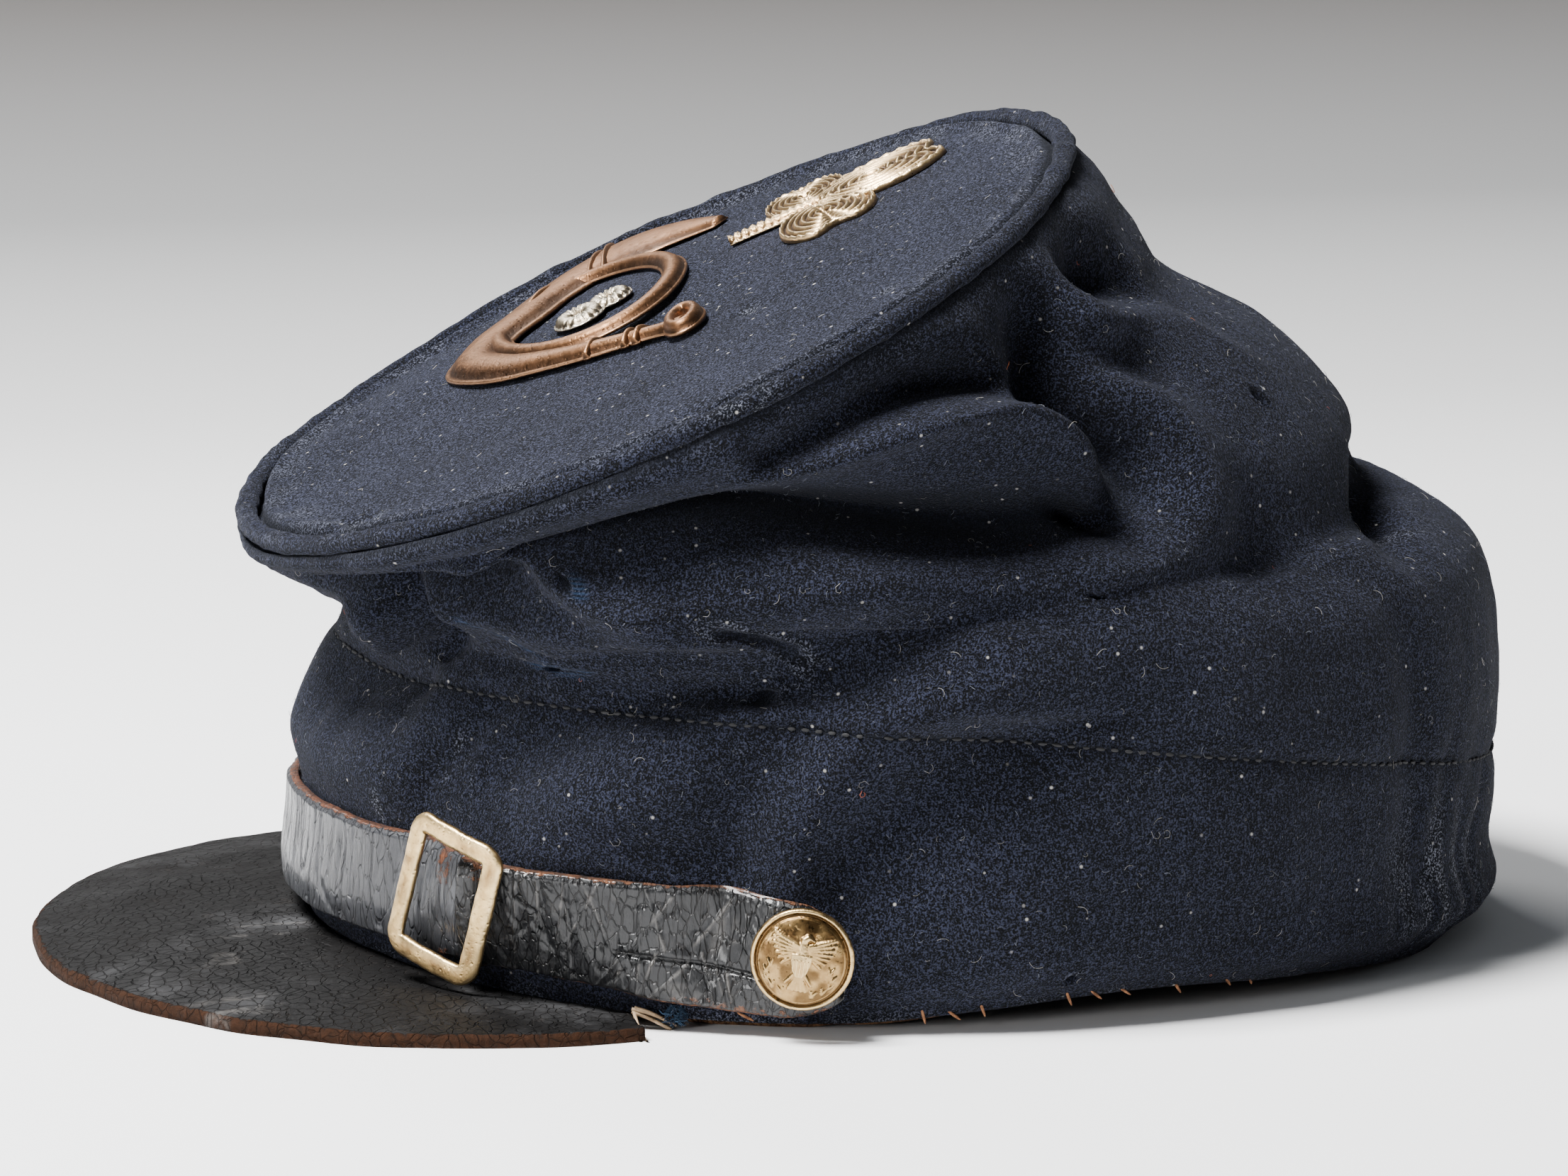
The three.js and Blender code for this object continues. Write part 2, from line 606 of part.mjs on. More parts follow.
// A leaf as a strip: it swells from its point to its rounded end.
function leaf(fromU, fromW, toU, toW, half, crest) {
  const places = range(0, 1, 7);
  return stamped({
    u: places.map((t) => THREE.MathUtils.lerp(fromU, toU, t)),
    w: places.map((t) => THREE.MathUtils.lerp(fromW, toW, t)),
    half: places.map((t) => 0.6 + half * Math.sqrt(Math.max(1 - (2 * t ** 0.8 - 1) ** 2, 0))),
    crest: places.map((t) => 0.9 + crest * Math.sin(Math.PI * t)),
  });
}
const CLOVER = [
  leaf(-21.5, 30.5, -3.5, 31.5, 7.2, 1.2),
  leaf(-21.5, 30, -38, 31, 6.2, 1.2),
  leaf(-21, 30.5, -22, 51, 9.2, 1.2),
  stamped({
    u: [-24.2, -23.4, -22.3, -21.5],
    w: [17, 21, 26, 32],
    half: [1.2, 1.4, 1.6, 1.8],
    crest: [1.2, 1.6, 1.6, 1.8],
  }),
];
add("clover_badge", joined(CLOVER), 0xd2c3a0, 0.4, 0.9, top);

// The cap is placed so that the middle of its box's underside is the origin.
const box = new THREE.Box3().setFromObject(group, true);
const middle = box.getCenter(new THREE.Vector3());
group.position.set(-middle.x, -middle.y, -box.min.z);
const cap = new THREE.Group();
cap.add(group);

export default cap;
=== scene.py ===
import math

import bpy
import numpy as np
from mathutils import Matrix, Vector


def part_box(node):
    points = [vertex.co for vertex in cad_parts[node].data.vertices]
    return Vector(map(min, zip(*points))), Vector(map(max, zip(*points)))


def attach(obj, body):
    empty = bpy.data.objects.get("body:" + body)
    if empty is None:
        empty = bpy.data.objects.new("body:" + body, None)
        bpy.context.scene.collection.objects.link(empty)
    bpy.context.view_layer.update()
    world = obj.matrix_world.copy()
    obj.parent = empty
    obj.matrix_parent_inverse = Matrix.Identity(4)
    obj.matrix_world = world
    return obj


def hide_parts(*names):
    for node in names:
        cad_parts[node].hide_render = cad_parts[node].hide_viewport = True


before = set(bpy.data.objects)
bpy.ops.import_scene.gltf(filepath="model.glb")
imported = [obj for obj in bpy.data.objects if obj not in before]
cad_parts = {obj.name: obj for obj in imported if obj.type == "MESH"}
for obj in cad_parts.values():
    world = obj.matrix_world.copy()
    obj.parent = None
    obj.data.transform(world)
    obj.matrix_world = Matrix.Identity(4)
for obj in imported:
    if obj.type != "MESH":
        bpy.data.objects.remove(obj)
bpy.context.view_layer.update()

# A forage cap of navy wool. Its crown has flopped forward under a round top, so the cap stands on the
# back of its band and on the rim of its leather peak. Places are in millimetres from the middle of the
# band, the peak towards -y and the wearer's left towards +x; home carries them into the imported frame.
MM = 0.001
peak_low, peak_high = (Vector(corner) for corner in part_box("visor"))
PEAK_TIP_Y = -128.0
home = np.array([(peak_low.x + peak_high.x) / 2, peak_low.y - PEAK_TIP_Y * MM, 0.0])


# The table: pale paper that rises at its far end, its colour painted darker the further it runs away as a
# painted fall-off of the light. A broad lamp hangs over the peak, a weak one stands low beyond it and a soft
# one lights the far side from behind. The camera stands off the wearer's left, a little above the cap.
SWEEP = {"x": [0.95, 0.2, -0.45, -0.62, -0.78, -0.92], "z": [0.0, 0.0, 0.0, 0.012, 0.06, 0.14]}
SWEEP_HALF = 2.2


def put(name, data):
    made = bpy.data.objects.new(name, data)
    bpy.context.collection.objects.link(made)
    return made


def node(tree, kind, feeds=None, **settings):
    """A new node: its settings, and for each input a plain value or the socket that feeds it."""
    made = tree.nodes.new(kind)
    for name, value in settings.items():
        setattr(made, name, value)
    for label, value in (feeds or {}).items():
        if isinstance(value, bpy.types.NodeSocket):
            tree.links.new(value, made.inputs[label])
        else:
            made.inputs[label].default_value = value
    return made


def spread(tree, value, low, high, to_low=0.0, to_high=1.0):
    """Stretches the part of a value between low and high over another range, and holds it beyond."""
    limits = {"From Min": low, "From Max": high, "To Min": to_low, "To Max": to_high}
    return node(tree, "ShaderNodeMapRange", {"Value": value, **limits}).outputs["Result"]


def shaded(tree, value, stops):
    """Turns a value to a colour by a list of places and colours."""
    made = node(tree, "ShaderNodeValToRGB", {"Fac": value})
    elements = made.color_ramp.elements
    elements[0].position, elements[1].position = stops[0][0], stops[-1][0]
    for position, colour in stops[1:-1]:
        elements.new(position)
    for element, (position, colour) in zip(elements, stops):
        element.color = (*colour, 1)
    return made.outputs["Color"]


def finish_of(name, values):
    """A new material: its tree, its shader and the place on the piece that its patterns read."""
    made = bpy.data.materials.new(name)
    made.use_nodes = True
    tree = made.node_tree
    shader = tree.nodes["Principled BSDF"]
    for label, value in values.items():
        shader.inputs[label].default_value = value
    return made, tree, shader, node(tree, "ShaderNodeTexCoord").outputs["Object"]


paper, tree, shader, place = finish_of("table_paper", {"Roughness": 0.85, "Specular IOR Level": 0.2})
# Painted fall-off of the light: the paper's colour goes from near black far off to white near the cap.
away = spread(tree, node(tree, "ShaderNodeSeparateXYZ", {0: place}).outputs["X"], -1.0, 0.1)
falloff_greys = [(0.34, (0.25,) * 3), (0.46, (0.5,) * 3), (0.6, (0.8,) * 3)]
stops = [(0.24, (0.1, 0.094, 0.09)), *falloff_greys, (0.78, (0.97, 0.97, 0.975))]
tree.links.new(shaded(tree, away, stops), shader.inputs["Base Color"])
sweep_mesh = bpy.data.meshes.new("table_sweep")
sweep_points = [(x, y, z) for x, z in zip(*SWEEP.values()) for y in (-SWEEP_HALF, SWEEP_HALF)]
sweep_faces = [(2 * i, 2 * i + 1, 2 * i + 3, 2 * i + 2) for i in range(len(SWEEP["x"]) - 1)]
sweep_mesh.from_pydata(sweep_points, [], sweep_faces)
sweep_mesh.polygons.foreach_set("use_smooth", [True] * len(sweep_faces))
sweep_mesh.materials.append(paper)
put("table_sweep", sweep_mesh)

world = bpy.data.worlds.new("room")
bpy.context.scene.world = world
world.use_nodes = True
tree = world.node_tree
across = node(tree, "ShaderNodeSeparateXYZ", {0: node(tree, "ShaderNodeTexCoord").outputs["Generated"]})
room_light = shaded(tree, across.outputs["X"], [(0.0, (0.9, 0.95, 1.0)), (0.9, (0.3, 0.32, 0.34))])
tree.links.new(room_light, tree.nodes["Background"].inputs["Color"])
tree.nodes["Background"].inputs["Strength"].default_value = 0.16

LAMP_AIM = Vector((0, 0, 0.05))
LAMPS = {
    "name": ["lamp_over", "lamp_left", "lamp_behind"],
    "place": [(0.16, -0.52, 1.15), (0.8, -1.1, 0.3), (-0.9, -0.3, 0.9)],
    "side": [0.42, 0.3, 0.5],
    "watts": [62.0, 8.0, 8.0],
}
for name, place, side, watts in zip(*LAMPS.values()):
    light = bpy.data.lights.new(name, "AREA")
    light.shape = "RECTANGLE"
    light.size = side
    light.size_y = side
    light.energy = watts
    stand = put(name, light)
    stand.location = place
    stand.rotation_mode = "QUATERNION"
    stand.rotation_quaternion = (LAMP_AIM - Vector(place)).to_track_quat("-Z", "Y")

CAMERA_TURN = math.radians(9)
CAMERA_RISE = math.radians(11)
CAMERA_AIM = Vector((0.0, -0.0153, 0.0515)) + Vector(home)
CAMERA_AWAY = 1.5
right = Vector((math.sin(CAMERA_TURN), math.cos(CAMERA_TURN), 0.0))
level = math.cos(CAMERA_RISE)
back = Vector((level * math.cos(CAMERA_TURN), -level * math.sin(CAMERA_TURN), math.sin(CAMERA_RISE)))
camera_data = bpy.data.cameras.new("camera")
camera_data.sensor_width = 36.0
camera_data.lens = 230.7
camera_data.clip_start = 0.05
camera_data.clip_end = 20.0
camera = put("camera", camera_data)
turned = Matrix((right, back.cross(right), back)).transposed().to_4x4()
camera.matrix_world = Matrix.Translation(CAMERA_AIM + back * CAMERA_AWAY) @ turned
bpy.context.scene.camera = camera


# The wool wall. One length of fulled navy kersey goes round the head: s runs round its 500 mm girth from
# the centre front over the wearer's left, h rises 100 mm from the base edge to the crown seam. The stiff
# band is the lowest 30 mm, marked by a line of stitches, and above it the soft crown has folded up.
GIRTH = 500.0
RISE = 100.0
BAND_RISE = 30.0
CLOTH = 2.2
RINGS = {
    "h": [0, 8, 16, 22, 30, 40, 50, 58, 64, 72, 80, 88, 95, 100],
    "front_y": [-86.8, -88.3, -87.4, -88.8, -82.5, -79, -81, -85, -88.2, -91.2, -93.4, -94.6, -95.3, -95.4],
    "front_z": [5.5, 12, 24, 33, 46, 51, 53.2, 54.6, 55.6, 57, 58.6, 59.6, 60.4, 61],
    "back_y": [85, 92.4, 91.2, 91.6, 92, 92.4, 89.5, 80, 72.8, 68.5, 57.5, 41.5, 35.5, 26.3],
    "back_z": [0, 6, 14, 19, 26.6, 41, 57, 64.8, 67.5, 79, 90.5, 99.5, 108, 117.6],
    "half_width": [71.5, 74, 75, 75.5, 75.5, 75.5, 74.5, 73, 71.5, 70, 69, 68.4, 68, 67.4],
    "shift": [0, 0, 0, 0, 0, 0, 0, 0.5, 1, 1.5, 2, 2.5, 2.8, 3],
    "drop": [1, 1.2, 1.6, 2, 2.5, 1.6, 1, 1, 1, 1, 1, 1, 1, 1],
}
EDGE = {
    "s": [0, 30, 50, 80, 110, 130, 150, 175, 200, 215, 285, 300, 350, 390, 420, 450, 470, 500],
    "z": [5.5, 4.6, 3.4, 1.8, 1.4, 3, 4.3, 3, 1, 0, 0, 1, 3.5, 1.8, 1.8, 3.4, 4.6, 5.5],
}
EDGE_REACH = 16.0
# Each fold is a line of stations in four columns: s, h, its width there, and how far out it stands.
FOLDS = {
    "front_pocket": (
        [30, 40, 52, 64, 74],
        [84, 82, 80, 79, 82],
        [5, 6.5, 7.5, 7, 5],
        [-2.5, -5.5, -8.5, -9, -6],
    ),
    "pocket_lip": ([70, 81, 88, 90], [88, 78, 70, 60], [4, 5, 6, 6], [2, 3, 3, 2]),
    "deep_valley": (
        [82, 100, 114, 128, 140, 150, 158],
        [88.5, 88, 86.5, 82.5, 78, 76, 75],
        [5, 6, 6.5, 7, 7, 6.5, 5],
        [-8, -12, -13.5, -13, -12.5, -11, -8],
    ),
    "body_lip": (
        [84, 100, 116, 137, 153, 167, 178, 184],
        [72, 70, 69, 67, 66.5, 69, 74, 82],
        [6, 6, 6, 6, 6, 6, 6, 6],
        [2, 2.5, 3, 3.5, 4, 4, 4, 3],
    ),
    "tongue": (
        [122, 134, 146, 156, 164, 167, 164],
        [92.5, 92, 92, 90.5, 87, 82, 78],
        [3.2, 3.6, 4, 4.4, 4.4, 4.2, 3.6],
        [1.5, 3.5, 5.5, 6.5, 6.5, 5, 2.5],
    ),
    "tongue_hollow": ([128, 145, 158, 167], [97, 97, 96, 93.5], [3, 3, 3.4, 3.2], [-3, -5.5, -7, -5.5]),
    "side_valley": (
        [188, 182, 179, 177, 174, 169, 162],
        [98, 94, 90, 86, 80, 75, 73],
        [4, 5, 5.5, 5.5, 5.5, 5.5, 5],
        [-5, -7, -8, -9, -10, -10, -8],
    ),
    "back_hollow": ([199, 206, 214], [97, 95.5, 93], [3.5, 4, 4], [-4, -6, -4]),
    "back_ridge": ([189, 192, 200, 212], [97, 94, 90.5, 88], [3.5, 4, 4.5, 6], [2.5, 4, 4, 2.5]),
    "curl": ([38, 31, 24], [70, 55, 42], [5, 5.5, 5], [4.5, 5.5, 3]),
    "curl_crease": ([47, 45, 40, 36], [76, 62, 48, 38], [3, 3, 3, 3], [-4, -5, -4, -2]),
    "front_body": ([62, 70, 84], [48, 60, 66], [8, 8, 7], [2.5, 2.5, 2.5]),
    "diagonal_valley": (
        [45, 62, 82, 97, 112, 130, 147],
        [20, 25, 36, 46, 56, 62, 64],
        [5.5, 6.5, 7, 7, 7, 7, 6],
        [-2.5, -3.8, -3.4, -3.4, -3.4, -3, -2],
    ),
    "front_swell": ([56, 70, 84], [14, 22, 27], [7, 8, 7], [2.5, 4, 3]),
    "streak": ([99, 104, 114, 128], [19, 28, 40, 49], [5.5, 6.5, 7, 8], [1.5, 2.8, 2.8, 1.8]),
    "streak_shadow": ([90, 93, 100, 110], [11, 20, 30, 38], [5, 6, 6, 5], [-2, -3, -2, -1]),
    "long_valley": (
        [106, 118, 133, 150, 162],
        [17, 25, 34, 46, 57],
        [5, 6, 7, 8, 9],
        [-2.5, -3.2, -2.2, -1.2, -0.8],
    ),
    "low_swell": ([100, 124, 144, 166], [9, 11, 16, 21], [6, 7, 7, 7], [1, 2, 2, 1.5]),
    "front_dimple": ([2, 18, 32], [26, 29, 30], [4, 5, 5], [-1.5, -4, -3.5]),
    "rear_hollow": ([172, 180, 186], [48, 58, 68], [9, 10, 9], [-1.5, -2.5, -2]),
    "rear_groove": ([190, 192, 194, 193], [54, 42, 28, 12], [5, 5, 5, 5], [-1.2, -1.8, -1.8, -1.2]),
    "notch": ([250, 230, 219, 208, 202], [66, 66, 62, 57.5, 54], [3, 3, 3, 3, 3], [-2, -4, -4, -3, -1]),
    "far_valley": ([-64, -96, -122, -150], [88, 89, 83, 79], [5, 5, 6, 6], [-6, -9, -10, -6]),
    "far_lip": ([-70, -110, -150], [76, 72, 68], [6, 7, 7], [3, 3.5, 3]),
    "far_diagonal": ([-48, -84, -130], [20, 34, 52], [5, 6, 7], [-2, -3, -2.5]),
}
FOLD_STEPS = 5
# The stretch of h over which unevenness is drawn, which takes in the flat pieces too.
LUMPS_FROM = -80.0
LUMPS_RISE = 260.0
TOP_AT = np.array([3.0, -35.4, 92.5])
TOP_LEAN = math.radians(24.9)
TOP_ROLL = math.radians(1.5)
TOP_DROOP = 2.2


def ramp(x):
    x = np.clip(x, 0.0, 1.0)
    return x * x * (3.0 - 2.0 * x)


def along(knots, values, x):
    """A smooth curve through a column of a table, flat beyond its ends."""
    knots = np.asarray(knots, float)
    values = np.asarray(values, float)
    x = np.clip(np.asarray(x, float), knots[0], knots[-1])
    last = len(knots) - 1
    i = np.clip(np.searchsorted(knots, x, side="right") - 1, 0, last - 1)
    low = np.maximum(np.arange(last + 1) - 1, 0)
    high = np.minimum(np.arange(last + 1) + 1, last)
    slope = (values[high] - values[low]) / (knots[high] - knots[low])
    span = knots[i + 1] - knots[i]
    t = (x - knots[i]) / span
    start = (2 * t**3 - 3 * t**2 + 1) * values[i] + (t**3 - 2 * t**2 + t) * slope[i] * span
    return start + (-2 * t**3 + 3 * t**2) * values[i + 1] + (t**3 - t**2) * slope[i + 1] * span


def droop(u):
    return -TOP_DROOP * ramp((-u - 15.0) / 50.0)


def wall(s, h):
    s, h = np.broadcast_arrays(np.asarray(s, float), np.asarray(h, float))
    ring = {name: along(RINGS["h"], column, h) for name, column in RINGS.items() if name != "h"}
    turn = s / GIRTH * 2 * np.pi
    behind = (1 - np.cos(turn)) / 2
    x = ring["shift"] + ring["half_width"] * np.sin(turn)
    y = ring["front_y"] + (ring["back_y"] - ring["front_y"]) * behind
    z = ring["front_z"] + (ring["back_z"] - ring["front_z"]) * behind ** ring["drop"]
    z = z + (droop(x - TOP_AT[0]) - x * np.tan(TOP_ROLL)) * ramp((h - 70.0) / 30.0)
    level = RINGS["front_z"][0] + (RINGS["back_z"][0] - RINGS["front_z"][0]) * behind
    lift = (along(EDGE["s"], EDGE["z"], s % GIRTH) - level) * np.clip(1 - h / EDGE_REACH, 0, 1) ** 2
    z = np.where(h < EDGE_REACH, np.maximum(z + lift, 0.0), z)
    return np.stack([x, y, z], -1)


def line_of_stations(stations):
    columns = [np.asarray(column, float) for column in stations]
    k = np.arange(len(columns[0]))
    t = np.linspace(0, k[-1], k[-1] * FOLD_STEPS + 1)
    return np.stack([along(k, column, t) for column in columns], -1)


def folds_at(s, h, folds=FOLDS):
    total = np.zeros(s.shape)
    for stations in folds.values():
        line = line_of_stations(stations)
        middle = line[:, 0].mean()
        here = (s - middle + GIRTH / 2) % GIRTH - GIRTH / 2 + middle
        nearest = np.full(s.shape, np.inf)
        value = np.zeros(s.shape)
        for a, b in zip(line[:-1], line[1:]):
            step = b - a
            along_step = (here - a[0]) * step[0] + (h - a[1]) * step[1]
            t = np.clip(along_step / (step[0] ** 2 + step[1] ** 2), 0, 1)
            away = (here - a[0] - t * step[0]) ** 2 + (h - a[1] - t * step[1]) ** 2
            ratio = away / (a[2] + t * step[2]) ** 2
            value = np.where(ratio < nearest, (a[3] + t * step[3]) * np.exp(-ratio), value)
            nearest = np.minimum(ratio, nearest)
        total += value
    return total * ramp((RISE - h) / 4.0)


def lumps(s, h, size, seed):
    """Smooth unevenness between -1 and 1 with features about size millimetres across."""
    s, h = np.broadcast_arrays(np.asarray(s, float), np.asarray(h, float))
    cells = max(round(GIRTH / size), 1)
    grid = np.random.default_rng(seed).uniform(-1, 1, (cells, int(LUMPS_RISE / size) + 4))
    x = (s / GIRTH * cells) % cells
    y = np.clip((h - LUMPS_FROM) / size, 0, grid.shape[1] - 2.001)
    i = x.astype(int)
    j = y.astype(int)
    fx = ramp(x - i)
    fy = ramp(y - j)
    low = grid[i, j] * (1 - fx) + grid[(i + 1) % cells, j] * fx
    high = grid[i, j + 1] * (1 - fx) + grid[(i + 1) % cells, j + 1] * fx
    return low * (1 - fy) + high * fy


# Small creases in the wool that are too fine for the solid: the puckers round the folds and the stitched
# line, the wrinkles at the back where the band is crushed, and the bruised spots.
CREASES = {
    "under_rim": ([58, 84, 112, 134], [95, 95.5, 95.5, 95], [1.8, 2.0, 2.0, 1.8], [-0.5, -0.8, -0.7, -0.4]),
    "crushed_1": ([200, 198, 202, 204], [2, 12, 24, 34], [2.0, 2.4, 2.2, 1.6], [-0.3, -0.8, -0.7, -0.2]),
    "crushed_2": ([209, 211, 208], [4, 14, 26], [1.7, 2.2, 1.8], [-0.4, -0.9, -0.3]),
    "crushed_3": ([219, 216, 220], [3, 15, 30], [1.8, 2.0, 1.6], [-0.5, -0.7, -0.3]),
    "front_pleat": ([44, 50, 58], [22, 27, 33], [2.2, 2.4, 2.2], [-0.8, -1.2, -0.6]),
    "strap_rub": ([62, 80, 98], [20, 19, 18], [1.8, 2.0, 1.8], [-0.5, -0.7, -0.4]),
}
# Moth holes and bruises: place, half width, half height and depth.
HOLES = [
    (82.5, 80, 0.9, 1.6, 1.5),
    (59, 41, 1.0, 2.2, 1.8),
    (97, 57, 1.9, 7.0, 0.9),
    (90.5, 38, 1.7, 4.6, 1.1),
    (70, 14, 0.8, 0.8, 1.2),
    (137, 6, 0.9, 0.9, 1.2),
    (150, 62, 0.8, 1.0, 1.0),
    (205, 78, 1.0, 1.0, 0.9),
]


def off_hole(s, h, hole_s, hole_h, across, tall):
    """How far a place lies from the middle of a hole, 1 at its ragged rim."""
    ragged = 1 + 0.35 * lumps(s, h, 1.6, 7)
    return np.hypot((s - hole_s) / across, (h - hole_h) / tall) / ragged


def cloth(s, h, offset=0.0, worn=False):
    """The folded wall moved out of itself by offset. worn adds the fine creases, puckers and nap."""
    s, h = np.broadcast_arrays(np.asarray(s, float), np.asarray(h, float))
    step = 0.4
    across = wall(s + step, h) - wall(s - step, h)
    up = wall(s, np.minimum(h + step, RISE)) - wall(s, np.maximum(h - step, 0))
    normal = np.cross(across, up)
    normal[..., 2] = np.where(h == 0, 0.0, normal[..., 2])
    normal /= np.linalg.norm(normal, axis=-1, keepdims=True)
    out = folds_at(s, h) + offset
    if worn:
        out = out + folds_at(s, h, CREASES)
        out = out + 0.32 * lumps(s, h, 15, 1) + 0.2 * lumps(s, h, 6.5, 2)
        out = out + 0.09 * lumps(s, h, 2.6, 3) + 0.05 * lumps(s, h, 1.3, 4)
        seam = np.exp(-(((h - BAND_RISE) / 1.3) ** 2))
        out = out - seam * (0.55 + 0.25 * lumps(s, 0, 5.0, 5))
        out = out + 1.3 * np.exp(-(((h - 98.2) / 1.6) ** 2)) * (1 + 0.25 * lumps(s, 0, 5.0, 8))
        above = np.exp(-(((h - BAND_RISE - 3.2) / 2.4) ** 2))
        below = np.exp(-(((h - BAND_RISE + 2.8) / 2.0) ** 2))
        out = out + (above + below) * 0.22 * lumps(s, 0, 6.0, 6)
        for *hole, depth in HOLES:
            away = off_hole(s, h, *hole)
            out = out - depth * np.exp(-(away**4)) + 0.25 * np.exp(-(((away - 1.5) / 0.4) ** 2))
    place = wall(s, h) + normal * out[..., None]
    place[..., 2] = np.maximum(place[..., 2], 0.0)
    if worn:
        place = place + ramp((h - 96.0) / 4.0)[..., None] * np.array([0.0, -0.8, 1.7])
    return place


def grid_faces(rows, across, rows_wrap=False, across_wraps=True, turned=False):
    """The four-sided faces of a grid of places. turned makes them face the other way."""
    i = np.arange(rows if rows_wrap else rows - 1)[:, None]
    j = np.arange(across if across_wraps else across - 1)[None, :]
    next_i, next_j = (i + 1) % rows, (j + 1) % across
    corners = [i * across + j, next_i * across + j, next_i * across + next_j, i * across + next_j]
    if turned:
        corners = [corners[k] for k in (0, 3, 2, 1)]
    return np.stack(corners, -1).reshape(-1, 4).tolist()


def closed_sheet(columns, rows, inner_rows, outer, inner, wraps):
    """A closed wall with an outer and a coarser inner face over the same columns."""
    count, tall, inner_tall = len(columns), len(rows), len(inner_rows)
    outer_points = outer(columns[:, None], rows[None, :]).reshape(-1, 3)
    inner_points = inner(columns[:, None], inner_rows[None, :]).reshape(-1, 3)
    inner_faces = np.array(grid_faces(count, inner_tall, wraps, False, True)) + count * tall
    faces = grid_faces(count, tall, wraps, False) + inner_faces.tolist()
    out_low = np.arange(count) * tall
    in_low = np.arange(count) * inner_tall + count * tall
    out_high, in_high = out_low + tall - 1, in_low + inner_tall - 1
    this = np.arange(count if wraps else count - 1)
    after = (this + 1) % count
    faces += np.stack([out_low[this], in_low[this], in_low[after], out_low[after]], -1).tolist()
    faces += np.stack([out_high[this], out_high[after], in_high[after], in_high[this]], -1).tolist()
    if not wraps:
        faces.append([*range(tall), *range(in_high[0], in_low[0] - 1, -1)])
        faces.append([*range(in_low[-1], in_high[-1] + 1), *range(out_high[-1], out_low[-1] - 1, -1)])
    return np.concatenate([outer_points, inner_points]), faces


def piece(name, points, faces, material, slot):
    mesh = bpy.data.meshes.new(name)
    mesh.from_pydata((np.asarray(points) * MM + home).tolist(), [], faces)
    mesh.polygons.foreach_set("use_smooth", [True] * len(mesh.polygons))
    mesh.materials.append(material)
    made = put(name, mesh)
    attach(made, "root")
    return made


def mark(made, name, values):
    """Keeps a mask of the piece, one value a vertex, for its material to read."""
    layer = made.data.attributes.new(name, "FLOAT", "POINT")
    full = np.zeros(len(made.data.vertices))
    values = np.asarray(values, float).reshape(-1)
    full[: len(values)] = values
    layer.data.foreach_set("value", full)


def group_tree(name, inputs, outputs):
    """A surface effect that several materials share: its tree, and what comes into and goes out of it."""
    tree = bpy.data.node_groups.new(name, "ShaderNodeTree")
    for label, kind in inputs.items():
        tree.interface.new_socket(name=label, in_out="INPUT", socket_type=kind)
    for label in outputs:
        tree.interface.new_socket(name=label, in_out="OUTPUT", socket_type="NodeSocketFloat")
    return tree, tree.nodes.new("NodeGroupInput").outputs, tree.nodes.new("NodeGroupOutput").inputs


def noise(tree, vector, scale, detail=3.0, roughness=0.6):
    feeds = {"Vector": vector, "Scale": scale, "Detail": detail, "Roughness": roughness}
    return node(tree, "ShaderNodeTexNoise", feeds).outputs["Fac"]


def maths(tree, operation, first, second):
    return node(tree, "ShaderNodeMath", {0: first, 1: second}, operation=operation).outputs[0]


def times(tree, first, second):
    return maths(tree, "MULTIPLY", first, second)


def plus(tree, first, second):
    return maths(tree, "ADD", first, second)


def blended(tree, factor, first, second):
    """Goes from the first colour to the second as factor goes from 0 to 1."""
    first, second = ((*end, 1.0) if isinstance(end, tuple) else end for end in (first, second))
    feeds = {0: factor, 6: first, 7: second}
    return node(tree, "ShaderNodeMix", feeds, data_type="RGBA").outputs[2]


def bumped(tree, shader, height, distance, strength=1.0):
    bump = node(tree, "ShaderNodeBump", {"Height": height, "Distance": distance, "Strength": strength})
    tree.links.new(bump.outputs["Normal"], shader.inputs["Normal"])


def masked(tree, name):
    return node(tree, "ShaderNodeAttribute", attribute_name=name).outputs["Fac"]


# The nap: the matted fibres of fulled wool, as a height, a light-to-dark mottle and a sprinkle of dust.
nap, given, shown = group_tree(
    "wool_nap", {"Vector": "NodeSocketVector", "Dust": "NodeSocketFloat"}, ["Height", "Mottle", "Specks"]
)
fibre = noise(nap, given["Vector"], 3400.0, 2.0, 0.6)
tuft = noise(nap, given["Vector"], 1700.0, 3.0, 0.65)
cloud = noise(nap, given["Vector"], 45.0, 4.0, 0.6)
nap.links.new(plus(nap, times(nap, fibre, 0.55), tuft), shown["Height"])
fine = times(nap, spread(nap, fibre, 0.42, 0.66), 0.55)
mottle = plus(nap, fine, times(nap, spread(nap, tuft, 0.4, 0.62), 0.33))
mottle = plus(nap, mottle, times(nap, spread(nap, cloud, 0.3, 0.7), 0.12))
nap.links.new(maths(nap, "POWER", spread(nap, mottle, 0.2, 0.8), 1.6), shown["Mottle"])
dust = node(nap, "ShaderNodeTexVoronoi", {"Vector": given["Vector"], "Scale": 800.0})
lucky = node(nap, "ShaderNodeSeparateColor", {0: dust.outputs["Color"]}).outputs[0]
speck = times(nap, spread(nap, dust.outputs["Distance"], 0.26, 0.1), spread(nap, lucky, 0.955, 0.985))
nap.links.new(times(nap, speck, given["Dust"]), shown["Specks"])


